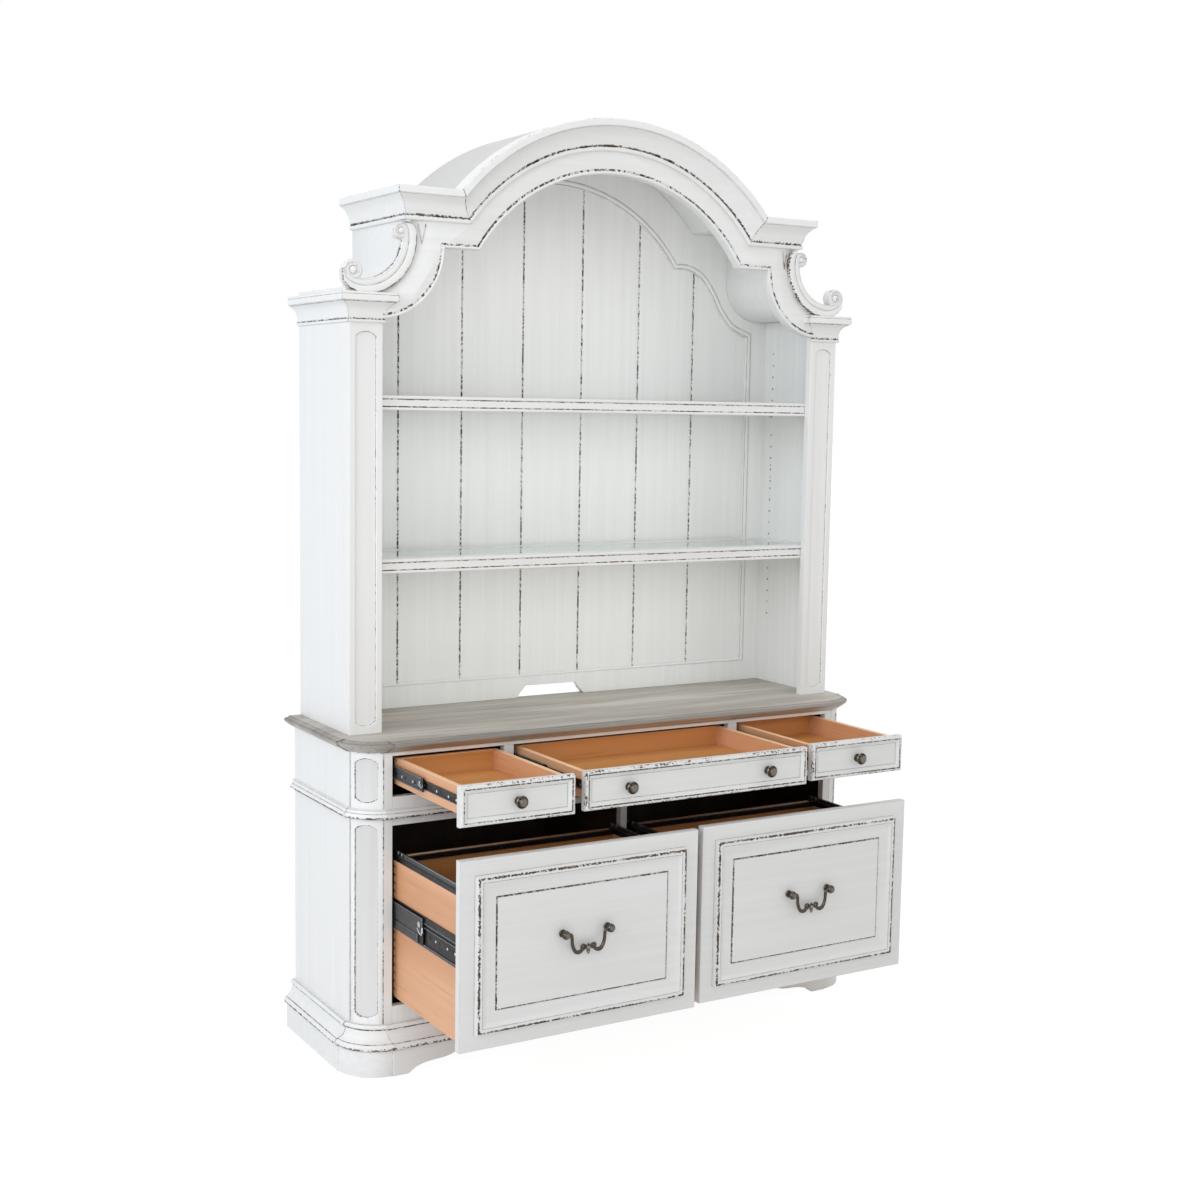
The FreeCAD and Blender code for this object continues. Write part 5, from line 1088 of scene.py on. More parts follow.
# %% C-scrolls
SCROLL_X, SCROLL_Z, SCROLL_RADIUS = 0.665, 1.928, 0.137
SCROLL_FRONT, CAPITAL_TOP, SCROLL_DEPTH, SCROLL_STEPS = 0.316, 1.7972, 26.0, 7
SCROLL_EDGES = (
    # degrees, outer, inner edge as shares of the radius
    (-119, 0.66, 0.62), (-112, 0.82, 0.69), (-106, 0.89, 0.71), (-98, 0.94, 0.72), (-88, 0.98, 0.73),
    (-60, 1.0, 0.735), (-30, 1.0, 0.735), (-6, 1.0, 0.725), (7, 0.99, 0.72), (12.5, 0.93, 0.72),
    (17, 0.75, 0.72),
)
SCROLL_ROWS = (
    # share from the outer to the inner edge, depth below the front in millimetres, rub, glaze
    (0.0, SCROLL_DEPTH, 0.0, 0.0), (0.0, 6.0, 0.8, 0.7), (0.02, 2.4, 0.9, 0.2), (0.07, 0.7, 0.6, 0.0),
    (0.18, 0.0, 0.0, 0.0), (0.36, 0.4, 0.0, 0.0), (0.47, 1.6, 0.0, 0.1), (0.53, 3.4, 0.6, 0.8),
    (0.59, 2.4, 0.0, 0.0), (0.72, 2.0, 0.0, 0.0), (0.84, 2.4, 0.0, 0.0), (0.88, 3.0, 0.3, 0.6),
    (0.92, 3.2, 0.0, 0.0), (0.98, 5.5, 0.6, 0.3), (1.0, 8.0, 0.7, 0.4), (1.0, SCROLL_DEPTH, 0.0, 0.0),
)
SCROLL_TIP = ((0.507, 0.3140, 1.957), (0.5155, 0.3105, 1.913), (0.524, 0.3085, 1.957))
VOLUTES = (
    # degrees, share of the radius, own radius in metres, where the ridge starts to curl, which way
    (-103, 0.62, 0.024, 171, -1), (6.5, 0.71, 0.019, 85, 1),
)
VOLUTE_TURNS, VOLUTE_STEPS = 1.35, 46
# A ridge's reach and thickness as shares of its volute: at the eye, and what is added at the rim.
RIDGE_REACH, RIDGE_THICK, RIDGE_SUNK = (0.44, 0.46), (0.075, 0.05), 0.0032
OUTWARD, PIN_POINT = Vector((0, -1, 0)), 0.02


def tube(bm, points, radii, sides, up=Vector((0, 1, 0)), rub=0.0, glaze=0.0):
    """A round bar along a line of points, with its ends closed."""
    rows = []
    for k, (point, radius) in enumerate(zip(points, radii)):
        along = (points[min(k + 1, len(points) - 1)] - points[max(k - 1, 0)]).normalized()
        side = along.cross(up).normalized()
        other = side.cross(along)
        rows.append([point + (side * math.cos(a) + other * math.sin(a)) * radius
                     for a in (2 * math.pi * n / sides for n in range(sides))])
    grid = skin(bm, rows, [(rub, glaze)] * len(rows), closed_path=True)
    stamp(bm, close_rings(bm, grid), rub, glaze)


def lathe(bm, centre, axis, rows, sides):
    """A turned shape: rows of (radius, along, rub, glaze) in millimetres around an axis."""
    side = axis.orthogonal().normalized()
    other = axis.cross(side)
    turns = [2 * math.pi * n / sides for n in range(sides)]
    rings = []
    for radius, along, rub, glaze in rows:
        middle, reach = centre + axis * (along * MM), max(radius, PIN_POINT) * MM
        rings.append([middle + (side * math.cos(a) + other * math.sin(a)) * reach for a in turns])
    close_rings(bm, skin(bm, rings, [row[2:] for row in rows], closed_path=True))


def scroll_spot(side, share, degrees, depth):
    turn = math.radians(degrees)
    x = SCROLL_X - share * SCROLL_RADIUS * math.cos(turn)
    z = max(SCROLL_Z + share * SCROLL_RADIUS * math.sin(turn), CAPITAL_TOP)
    return Vector((side * x, -depth, z))


def volute_rows(full):
    """Profile of a volute of that radius in millimetres: its wall, its sunk face and its eye."""
    return moulding(
        ("line", [(full - 1.0, -SCROLL_DEPTH), (full - 0.4, -6.0, 0.6, 0.5), (full - 1.0, -3.6, 0.5, 0.3),
                  (0.36 * full, -4.0, 0.3, 0.7), (0.32 * full, -1.6)]),
        ("curve", [(0.32 * full, -1.6), (0.28 * full, 1.2, 0.5, 0.0), (0.16 * full, 2.6, 0.55),
                   (0.0, 3.0, 0.6)]),
    )


def scroll(bm, side):
    outer_edge, inner_edge = [[(row[0], row[column]) for row in SCROLL_EDGES] for column in (1, 2)]
    widths = []
    for index in range(len(SCROLL_EDGES) - 1):
        first, second = SCROLL_EDGES[index][0], SCROLL_EDGES[index + 1][0]
        for share in (step / SCROLL_STEPS for step in range(SCROLL_STEPS)):
            widths.append((first + share * (second - first), on_curve(outer_edge, index, share)[1],
                           on_curve(inner_edge, index, share)[1]))
    rows = [[scroll_spot(side, outer + share * (inner - outer), turn, SCROLL_FRONT - sunk * MM)
             for turn, outer, inner in widths] for share, sunk, rub, glaze in SCROLL_ROWS]
    close_ends(bm, skin(bm, rows, [row[2:] for row in SCROLL_ROWS], closed_profile=True))
    for degrees, share, radius, start, curl in VOLUTES:
        eye = scroll_spot(side, share, degrees, SCROLL_FRONT)
        lathe(bm, eye, OUTWARD, volute_rows(radius / MM), 32)
        points, radii = [], []
        for step in range(VOLUTE_STEPS):
            left = 1 - step / (VOLUTE_STEPS - 1)
            turn = math.radians(start) + curl * VOLUTE_TURNS * 2 * math.pi * (1 - left)
            reach = radius * (RIDGE_REACH[0] + RIDGE_REACH[1] * left)
            points.append(eye + Vector((-side * reach * math.cos(turn), RIDGE_SUNK, reach * math.sin(turn))))
            radii.append(radius * (RIDGE_THICK[0] + RIDGE_THICK[1] * left))
        tube(bm, points, radii, 8, rub=0.42, glaze=0.1)


scroll_bm = blank()
for side in (-1, 1):
    scroll(scroll_bm, side)
piece("shoulder_scrolls", scroll_bm, "cabinet", [paint_along], ["c_scrolls"])
tips = [(side * x, -y, z) for side in (-1, 1) for x, y, z in SCROLL_TIP]
bead_tree.grow("scroll_tips", tips, [(0, 1), (1, 2), (3, 4), (4, 5)], "cabinet", "white_paint",
               radius=0.0010, rub=0.62, glaze=0.8, finish=paint_along)

# %% [markdown]
# Shelves: a frame with a reeded front edge, a rabbet, and a sheet of glass that lies in it. The reeded
# edge is a profile of two beads with a flat between them, drawn from the underside to the top.

# %% Shelves
HUTCH_INNER, SHELF_FRONT, SHELF_BACK = 675.0, -290.0, -20.0
SHELF_TOPS, SHELF_THICK, SHELF_RAIL, SHELF_END = (1190.0, 1568.0), 34.0, 55.0, 60.0
LEDGE, LIP, REED_NOSE, SHELF_PLAY = 27.9, 10.3, 0.05, 0.2
PANE_LIP, PANE_LOW, PANE_HIGH = 10.0, 6.0, 0.2
SHELF_HALF, SHELF_INNER = HUTCH_INNER - SHELF_PLAY, HUTCH_INNER - SHELF_END
REEDED = moulding(
    ("line", [(SHELF_RAIL, 0.0), (2.4, 0.0)]),
    ("curve", [(2.4, 0.0), (0.4, 1.4), (-0.4, 4.2), (0.6, 7.0)]),
    ("line", [(0.6, 7.0, 0.7, 0.2), (2.4, 7.8, 0.92, 0.8), (1.8, 9.0, 0.8, 0.3), (1.8, 25.0, 0.8, 0.3),
              (2.4, 26.2, 0.95, 0.8), (0.6, 27.0, 0.7, 0.2)]),
    ("curve", [(0.6, 27.0), (-0.4, 29.8), (0.4, 32.6), (2.4, 34.0)]),
    ("line", [(2.4, 34.0), (44.6, 34.0), (44.6, LEDGE), (SHELF_RAIL, LEDGE)]),
)
shelf_bm, glass_bm = blank(), blank()
for top in SHELF_TOPS:
    low, front, back = top - SHELF_THICK, SHELF_FRONT + SHELF_RAIL, SHELF_BACK - SHELF_RAIL
    ledge = low + LEDGE
    rows = [[Vector((x, SHELF_FRONT + max(out, REED_NOSE), low + up)) * MM for x in (-SHELF_HALF, SHELF_HALF)]
            for out, up, rub, glaze in REEDED]
    close_ends(shelf_bm, skin(shelf_bm, rows, [row[2:] for row in REEDED], closed_profile=True))
    board(shelf_bm, (-SHELF_HALF, back, low), (SHELF_HALF, SHELF_BACK, ledge), 0.8, 0.25)
    board(shelf_bm, (-SHELF_HALF, back + LIP, ledge), (SHELF_HALF, SHELF_BACK, top), 0.8, 0.25)
    for side in (-1, 1):
        ends = sorted((side * SHELF_INNER, side * SHELF_HALF))
        lips = sorted((side * (SHELF_INNER + LIP), side * SHELF_HALF))
        board(shelf_bm, (ends[0], front, low), (ends[1], back, ledge), 0.6, 0.2)
        board(shelf_bm, (lips[0], front - LIP, ledge), (lips[1], back + LIP, top), 0.6, 0.2)
    board(glass_bm, (-SHELF_INNER - PANE_LIP, front - PANE_LIP, top - PANE_LOW),
          (SHELF_INNER + PANE_LIP, back + PANE_LIP, top - PANE_HIGH), 0.7, 0.0)
piece("shelf_rails", shelf_bm, "cabinet", [paint_along], ["shelf_frames"])
piece("shelf_panes", glass_bm, "cabinet", [shelf_glass], ["shelf_glasses"])
print(len(SHELF_TOPS), "shelves")

# %% [markdown]
# Rows of peg holes run up the inside of the hutch's sides, and each shelf rests on four pegs. The
# holes repeat, so Geometry Nodes put a thin dark disc on each point of a grid, bare wood and painted
# shade for the hole; the pegs are turned.

# %% Peg holes and pegs
PEG_DEPTHS, PEG_PITCH, PEG_CLEAR, PEG_RADIUS = (-0.250, -0.060), 0.032, 0.024, 3.0
PEG_RUNS = ((0.980, 14), (1.352, 12))    # the lowest hole of a run, and how many holes it has
HOLE_PROUD = 0.1
PEG = [(PEG_RADIUS, 0.0, 0.0, 0.0), (PEG_RADIUS, 7.6, 0.3, 0.0), (2.4, 8.8, 0.6, 0.0), (0.0, 9.0, 0.0, 0.0)]
QUARTER_TURN = (0.0, math.pi / 2, 0.0)
hole_tree = Tree("peg_holes", radius=0.0026, finish=None)
cup = hole_tree.add("GeometryNodeMeshCylinder", {"fill_type": "NGON"}, Vertices=14, Depth=0.0005,
                    Radius=hole_tree.given["radius"])
turned = hole_tree.add("GeometryNodeTransform", Geometry=cup.outputs["Mesh"], Rotation=QUARTER_TURN)
# The discs carry full rub and glaze: bare wood and painted shade for the hole.
marked = stored(hole_tree, turned.outputs[0], rub=1.0, glaze=1.0)
placed = hole_tree.add("GeometryNodeInstanceOnPoints", Points=hole_tree.given["Geometry"], Instance=marked)
hole_tree.end(placed.outputs[0])

shelf_lows = [(top - SHELF_THICK) * MM for top in SHELF_TOPS]
taken = shelf_lows + [low + SHELF_THICK / 2 * MM for low in shelf_lows]
heights = [low + PEG_PITCH * step for low, count in PEG_RUNS for step in range(count)]
free = [z for z in heights if min(abs(z - other) for other in taken) > PEG_CLEAR]
wall = (HUTCH_INNER - HOLE_PROUD) * MM
peg_points = [(side * wall, y, z) for side in (-1, 1) for y in PEG_DEPTHS for z in free]
hole_tree.grow("peg_holes", peg_points, [], "cabinet", "white_paint", finish=paint_upright)
peg_bm = blank()
for low in shelf_lows:
    for y in PEG_DEPTHS:
        for side in (-1, 1):
            foot = Vector((side * HUTCH_INNER * MM, y, low - PEG_RADIUS * MM))
            lathe(peg_bm, foot, Vector((-side, 0, 0)), PEG, 16)
piece("shelf_pegs", peg_bm, "cabinet", [bright_zinc], ["shelf_pins"])
print("peg holes:", len(peg_points))

# %% [markdown]
# A drawer front is a stack of rectangles: each row is an inset from the edge and a height above the back.
# A pencil front has a rounded rim, a rubbed quirk and a sunk field. A file front has a flat border, a
# raised moulding and a middle panel behind an incised line. Rows keep the mitres at the corners true.

# %% Drawer fronts
PENCIL_FRONT = moulding(
    ("line", [(0.9, 0.0), (0.0, 0.9, 0.5), (0.0, 13.8)]),
    ("curve", [(0.0, 13.8, 0.55, 0.1), (1.4, 17.6, 0.50), (4.6, 19.7, 0.50), (6.2, 20.0)]),
    ("line", [(6.2, 20.0), (7.0, 19.8, 0.8, 0.3), (8.6, 18.9, 1.0, 0.9), (10.2, 19.4, 0.8, 0.3)]),
    ("curve", [(9.8, 19.4), (11.8, 18.6), (14.0, 16.4), (16.4, 14.8), (17.6, 14.5)]),
    ("line", [(17.6, 14.5), (18.6, 13.3, 0.6, 1.0), (19.8, 14.0), (24.0, 14.0)]),
)
FILE_FRONT = moulding(
    ("line", [(1.0, 0.0), (0.0, 1.0, 0.3), (0.0, 18.4), (0.4, 19.5, 0.35, 0.8), (1.4, 20.0), (34.4, 20.0),
              (35.4, 19.5, 0.6, 1.0), (36.2, 20.8)]),
    ("curve", [(36.2, 20.8), (37.0, 25.6), (38.2, 30.0, 0.4), (39.4, 32.2, 0.9, 0.2)]),
    ("line", [(39.4, 32.2, 1.0, 0.4), (40.6, 33.0, 1.1, 0.5), (42.4, 33.0, 1.0, 0.3), (44.0, 33.0, 0.55),
              (45.4, 33.0), (48.6, 32.9), (49.8, 31.6, 0.65, 1.0), (51.0, 32.2)]),
    ("curve", [(51.0, 32.2), (57.0, 29.6), (66.0, 27.0), (76.0, 25.4), (83.6, 25.0)]),
    ("line", [(83.6, 25.0), (85.2, 23.9, 0.95, 1.0), (87.0, 24.0, 0.95, 0.8), (88.0, 27.0, 0.4, 0.2),
              (89.0, 27.5), (94.0, 27.5)]),
)
FRONTS = {"pencil": PENCIL_FRONT, "file": FILE_FRONT}
DRAWERS = {
    # name: left and right guide, low and high edge of the opening, how far it stands open, in millimetres
    "left_pencil": (-624.0, -337.0, 655.0, 750.0, 346.0),
    "middle_pencil": (-311.0, 311.0, 655.0, 750.0, 335.0),
    "right_pencil": (337.0, 624.0, 655.0, 750.0, 315.0),
    "left_file": (-624.0, -9.0, 160.0, 588.0, 345.0),
    "right_file": (9.0, 624.0, 160.0, 588.0, 330.0),
}
FRONT_GAP = 2.5


def kind_of(name):
    return "pencil" if "pencil" in name else "file"


def drawer_front(name):
    left, right, low, high, opened = DRAWERS[name]
    rows = FRONTS[kind_of(name)]
    bm = blank()
    lines = []
    for inset, lift, rub, glaze in rows:
        edge, y = FRONT_GAP + inset, FRAME_BACK - opened - lift
        corners = ((left + edge, low + edge), (right - edge, low + edge), (right - edge, high - edge),
                   (left + edge, high - edge))
        lines.append([Vector((x, y, z)) * MM for x, z in corners])
    close_rings(bm, skin(bm, lines, [row[2:] for row in rows], closed_path=True))
    # The fronts' paint holds a share of grey that is painted shade.
    piece(name + "_panel", bm, name + "_drawer", [paint_fronts_shaded], [name + "_front"], bend=24.0)


for name in DRAWERS:
    drawer_front(name)
print("drawer fronts with", len(PENCIL_FRONT), "and", len(FILE_FRONT), "rows")

# %% [markdown]
# The boxes behind the fronts are thin boards with eased edges, and their edges and top faces are lightened
# as a painted highlight. The sides are finger-jointed to the back, which shows as a ladder of light end
# grain at the rear corner, lightened as a painted highlight too. The ladder repeats, so Geometry Nodes
# place it.

# %% Drawer boxes
SLIDE_SPACE, WALL, BOX_LENGTH = 12.7, 12.0, 345.0
BOX_HEIGHTS = {"pencil": (681.0, 742.0), "file": (176.0, 511.0)}
BOTTOM_LOW, BOTTOM_HIGH, FINGER_PITCH = 8.0, 14.0, 0.0195
SIDE_WOOD, BACK_WOOD = 0, 1
finger_tree = Tree("finger_joint", wide=0.0115, tall=0.0128, finish=None)
given = finger_tree.given
size = finger_tree.add("ShaderNodeCombineXYZ", X=0.0006, Y=given["wide"], Z=given["tall"])
finger = finger_tree.add("GeometryNodeMeshCube", Size=size.outputs[0])
# The fingers carry the rub mark: a painted highlight that keeps the end grain light.
finger_placed = finger_tree.add("GeometryNodeInstanceOnPoints", Points=given["Geometry"],
                                Instance=stored(finger_tree, finger.outputs["Mesh"], rub=0.9, glaze=0.0))
finger_tree.end(finger_placed.outputs[0])


def drawer_box(name):
    left, right, _, _, opened = DRAWERS[name]
    low, high = BOX_HEIGHTS[kind_of(name)]
    left, right = left + SLIDE_SPACE, right - SLIDE_SPACE
    front = FRAME_BACK - opened
    back = front + BOX_LENGTH
    bm = blank()
    # The rub mark on the eased edges lightens them as a painted highlight.
    board(bm, (left, front, low), (left + WALL, back, high), 1.3, 0.8, material=SIDE_WOOD)
    board(bm, (right - WALL, front, low), (right, back, high), 1.3, 0.8, material=SIDE_WOOD)
    board(bm, (left + WALL, back - WALL, low), (right - WALL, back, high), 1.3, 0.8, material=BACK_WOOD)
    board(bm, (left + WALL, front, low + BOTTOM_LOW), (right - WALL, back - WALL, low + BOTTOM_HIGH),
          0.5, 0.2, 0.3, material=BACK_WOOD)
    # Painted highlight: the top faces of the walls get the full rub mark, as if lit from above.
    stamp(bm, [face for face in bm.faces
               if face.normal.z > FACING and face.calc_center_median().z > (high - 1) * MM], 1.0, 0.0)
    woods = [box_wood_deep, box_wood_along]
    piece(name + "_case", bm, name + "_drawer", woods, [name + "_box"])
    count = int((high - low) * MM / FINGER_PITCH)
    points = [(x * MM, (back - WALL / 2) * MM, low * MM + (k + 0.5) * FINGER_PITCH)
              for x in (left, right) for k in range(count)]
    finger_tree.grow(name + "_fingers", points, [], name + "_drawer", "drawer_wood", finish=lit_end_grain)


for name in DRAWERS:
    drawer_box(name)
print("boxes made for", ", ".join(DRAWERS))

# %% [markdown]
# The slides are pressed steel members that run beside one another. One flat bar would do from far away, but
# from the side a slide is a row of bright lips and dark webs, so each member is a stack of strips that lie
# at different depths along the drawer. The last strip of a middle member is short: it is the stop at the
# front end. Geometry Nodes place the rivets, and the holes as black discs of painted shade.

# %% Slides
SLIDE_PLATE, SLIDE_CLEAR, SLIDE_SETBACK = 4.0, 0.35, 2.0
SLIDE_HEIGHTS = {"pencil": 712.0, "file": 378.0}
MIDDLE_SHARE = 0.5
MEMBERS = (("fixed", 0.0), ("middle", MIDDLE_SHARE), ("drawer", 1.0))
BLACK, GREY = 0, 1
STRIPS = {
    # low and high edge from the middle height, sunk from the outer face, start behind the front end, steel
    ("pencil", "fixed"): ((-19.0, 19.0, 2.8, 0, BLACK), (16.4, 19.0, 0.0, 0, GREY),
                          (-19.0, -16.4, 0.0, 0, GREY)),
    ("pencil", "middle"): ((-15.6, 15.6, 2.4, 10, GREY), (12.2, 15.6, 0.0, 10, GREY),
                           (-15.6, -12.2, 0.0, 10, GREY), (-15.6, 15.6, 0.2, 0, BLACK)),
    ("pencil", "drawer"): ((-10.4, 10.4, 2.6, 0, BLACK), (7.6, 10.4, 0.4, 0, BLACK),
                           (-10.4, -8.6, 0.0, 0, GREY)),
    ("file", "fixed"): ((-40.0, 40.0, 2.8, 0, BLACK), (37.0, 40.0, 0.0, 0, GREY),
                        (-40.0, -37.0, 0.0, 0, GREY)),
    ("file", "middle"): ((-31.2, 31.2, 3.0, 0, BLACK), (-8.0, 31.2, 0.5, 0, GREY), (29.2, 31.2, 0.0, 0, GREY),
                         (-31.2, -11.5, 0.5, 28, GREY), (-31.2, -11.5, 0.0, 24, GREY)),
    ("file", "drawer"): ((-35.2, 35.2, 3.0, 0, BLACK), (20.6, 35.2, 0.8, 0, BLACK),
                         (18.6, 20.6, 0.0, 0, GREY), (9.0, 11.0, 0.0, 0, GREY), (-35.2, -29.0, 0.2, 0, GREY)),
}
STOPS = {("pencil", "middle"): 11.0, ("file", "middle"): 4.5}
STUDS = (
    # name, shares of the length, what the tree is told
    ("_rivets", (0.05, 0.16, 0.33, 0.52, 0.65, 0.80, 0.95),
     {"radius": 0.0030, "tall": 0.0010, "rub": 1.0, "finish": bright_zinc}),
    # The holes are black discs: painted shade where the steel is pierced.
    ("_holes", (0.09, 0.13, 0.28, 0.42, 0.58, 0.72, 0.88),
     {"radius": 0.0036, "tall": 0.0006, "glaze": 1.0, "finish": black_oxide}),
)
STUD_DROP, STUD_PROUD = 0.18, 0.1

rivet_tree = Tree("slide_rivets", radius=0.0024, tall=0.0009, rub=0.0, glaze=0.0, finish=None)
given = rivet_tree.given
stud = rivet_tree.add("GeometryNodeMeshCylinder", {"fill_type": "NGON"}, Vertices=12, Radius=given["radius"],
                      Depth=given["tall"])
stud = rivet_tree.add("GeometryNodeTransform", Geometry=stud.outputs["Mesh"], Rotation=QUARTER_TURN)
marked = stored(rivet_tree, stud.outputs[0], rub=given["rub"], glaze=given["glaze"])
placed = rivet_tree.add("GeometryNodeInstanceOnPoints", Points=given["Geometry"], Instance=marked)
rivet_tree.end(placed.outputs[0])


def member_strips(bm, kind, member, side, outer, front):
    """One member: strips of pressed steel that lie behind or before each other."""
    middle = SLIDE_HEIGHTS[kind]
    strips = STRIPS[kind, member]
    for number, (low, high, sunk, start, steel) in enumerate(strips):
        stop = STOPS.get((kind, member)) if number == len(strips) - 1 else None
        end = start + stop if stop else BOX_LENGTH
        across = sorted((side * (outer + sunk), side * (outer + SLIDE_PLATE)))
        board(bm, (across[0], front + start, middle + low), (across[1], front + end, middle + high),
              0.5, 0.9, material=steel)


fixed_bm = blank()
for name, (left, right, _, _, opened) in DRAWERS.items():
    kind = kind_of(name)
    for order, (member, shift) in enumerate(MEMBERS):
        front = FRAME_BACK + SLIDE_SETBACK - opened * shift
        inward = order * (SLIDE_PLATE + SLIDE_CLEAR)
        sides = ((1, left + inward), (-1, -right + inward))
        bm = fixed_bm if member == "fixed" else blank()
        for side, outer in sides:
            member_strips(bm, kind, member, side, outer, front)
        if member == "fixed":
            continue
        body = name + ("_drawer" if member == "drawer" else "_slide_middles")
        label = "%s_%s_channels" % (name, member)
        nodes = ["%s_%s_slides" % (name, member)]
        piece(label, bm, body, [black_oxide, grey_steel], nodes, bend=20.0)
        tall = max(strip[1] for strip in STRIPS[kind, member])
        web = max(strip[2] for strip in STRIPS[kind, member])
        z = (SLIDE_HEIGHTS[kind] - STUD_DROP * tall) * MM
        for trim, steps, values in STUDS:
            points = [(side * (outer + web - STUD_PROUD) * MM, (front + step * BOX_LENGTH) * MM, z)
                      for side, outer in sides for step in steps]
            rivet_tree.grow(label + trim, points, [], body, "black_steel", **values)
piece("fixed_channels", fixed_bm, "cabinet", [black_oxide, grey_steel], ["fixed_slides"],
      bend=20.0)
print("slides with strips for", len(STRIPS), "kinds of member")

# %% [markdown]
# The lever catches at the front ends of the middle members are the only bright parts of the slides: a bent
# zinc tongue with a round end. They ride with the middle members and stay within their thickness, so that
# they pass the fixed members when a drawer closes.

# %% Lever catches
CATCH_SIZES = {"pencil": (0.0, 0.8), "file": (6.0, 1.7)}    # height above the slide's middle, scale
CATCH_BAR = (
    # bar radius, distance behind the front end, up
    (1.3, 26, -2), (1.4, 15, -7), (1.4, 6, -8), (1.4, 1.5, -4), (1.2, 1.5, 2.0),
)
CATCH_DISC = (
    # radius, along, rub
    (4.0, -0.6, 0.0), (4.0, 1.0, 0.8), (3.2, 1.5, 0.5), (0.0, 1.6, 0.0),
)
BAR_SUNK, DISC_OUT, DISC_BEHIND, DISC_UP = 0.2, 1.6, 18, 4
for name, (left, right, _, _, opened) in DRAWERS.items():
    lift, big = CATCH_SIZES[kind_of(name)]
    middle = SLIDE_HEIGHTS[kind_of(name)] + lift
    front = FRAME_BACK + SLIDE_SETBACK - opened * MIDDLE_SHARE
    bm = blank()
    for side, guide in ((1, left), (-1, -right)):
        x = guide + SLIDE_PLATE + SLIDE_CLEAR
        points = [Vector((side * (x + bar * big - BAR_SUNK), front + behind, middle + up * big)) * MM
                  for bar, behind, up in CATCH_BAR]
        tube(bm, points, [bar * big * MM for bar, behind, up in CATCH_BAR], 8, Vector((1, 0, 0)), rub=0.8)
        centre = Vector((side * (x + DISC_OUT), front + DISC_BEHIND, middle + DISC_UP * big)) * MM
        disc = [(radius * big, along, rub, 0.0) for radius, along, rub in CATCH_DISC]
        lathe(bm, centre, Vector((-side, 0, 0)), disc, 18)
    piece(name + "_catches", bm, name + "_slide_middles", [bright_zinc])
print("lever catches on", len(DRAWERS), "drawers")

# %% [markdown]
# Hanging-file rails: a black channel sits on each side of a file box with a grey rail on it, and two cross
# rails join the sides. The rails are rounded over at the top so that a folder's hook can slide, and bright
# clips hold them at the back.

# %% Hanging-file rails
RAIL_TALL, CROSS_GAP, CROSS_THICK = 14.0, 24.0, 4.0
RAIL_SHORT, CHANNEL_LOW, CHANNEL_HIGH = 0.5, 9.0, 2.4
CLIP_PLACES, CLIP_LONG, BRIGHT = (-14.0, 6.0), 6.0, 2
for name in ("left_file", "right_file"):
    left, right, _, _, opened = DRAWERS[name]
    left, right = left + SLIDE_SPACE, right - SLIDE_SPACE
    high, front = BOX_HEIGHTS["file"][1], FRAME_BACK - opened
    back = front + BOX_LENGTH
    near, far = front + RAIL_SHORT, back - RAIL_SHORT
    bm = blank()
    for inner, outer in ((left, left + WALL), (right - WALL, right)):
        for start, end in ((inner - 0.6, inner + 0.8), (outer - 0.8, outer + 0.6)):
            board(bm, (start, near, high - CHANNEL_LOW), (end, far, high + CHANNEL_HIGH), 0.5, 0.4)
        board(bm, (inner - 0.4, near, high + 0.6), (outer + 0.4, far, high + 2.6), 0.9, 0.4, material=GREY)
        board(bm, (inner + 3.0, near, high + 2.2), (inner + 9.0, far, high + RAIL_TALL), 1.5, 0.8,
              material=GREY)
        for place in CLIP_PLACES:
            clip = back - CROSS_GAP + place
            board(bm, (inner + 2.4, clip, high + 6.0),
                  (inner + 9.4, clip + CLIP_LONG, high + RAIL_TALL - 0.4), 0.9, 1.0, material=BRIGHT)
    for start in (front + CROSS_GAP, back - CROSS_GAP - CROSS_THICK):
        board(bm, (left + WALL, start, high - 11.0), (right - WALL, start + CROSS_THICK, high + 3.0),
              1.5, 0.6)
    steels = [black_oxide, grey_steel, bright_zinc]
    piece(name + "_file_rails", bm, name + "_drawer", steels, [name + "_hanging_rails"])
print("file rails on two drawers")

# %% [markdown]
# Knobs and pull posts are turned, so a lathe of profile rows makes them. High places carry the rub mark,
# which polishes the bronze, and the grooves carry glaze, which leaves them black.

# %% Knobs
KNOB = moulding(
    ("line", [(8.8, 0.0), (9.8, 0.6, 0.4, 0.0), (9.9, 1.8, 0.3, 0.0)]),
    ("curve", [(9.9, 1.8), (8.4, 3.2, 0.0, 0.6), (6.2, 5.0), (5.2, 8.4), (6.0, 11.4, 0.0, 0.6), (9.4, 13.4)]),
    ("line", [(9.4, 13.4), (12.6, 14.4, 0.3, 0.3)]),
    ("curve", [(12.6, 14.4), (14.3, 16.4, 0.6, 0.0), (14.4, 18.6, 0.5, 0.0), (13.2, 20.6, 0.2, 0.3)]),
    ("line", [(13.2, 20.6), (12.4, 20.9, 0.0, 0.9), (11.6, 21.6)]),
    ("curve", [(11.6, 21.6), (8.8, 24.6, 0.3, 0.0), (4.6, 26.5, 0.45, 0.0), (0.0, 27.0, 0.5, 0.0)]),
)
KNOBS = {"left_pencil": (-480.5,), "middle_pencil": (-193.0, 193.0), "right_pencil": (480.5,)}
for name, spots in KNOBS.items():
    _, _, low, high, opened = DRAWERS[name]
    field = FRAME_BACK - opened - PENCIL_FRONT[-1][1]
    bm = blank()
    for x in spots:
        lathe(bm, Vector((x, field, (low + high) / 2)) * MM, OUTWARD, KNOB, 40)
    piece(name + "_turned_knobs", bm, name + "_drawer", [bronze], [name + "_knobs"],
          bend=40.0)
print("knobs with", len(KNOB), "rows")

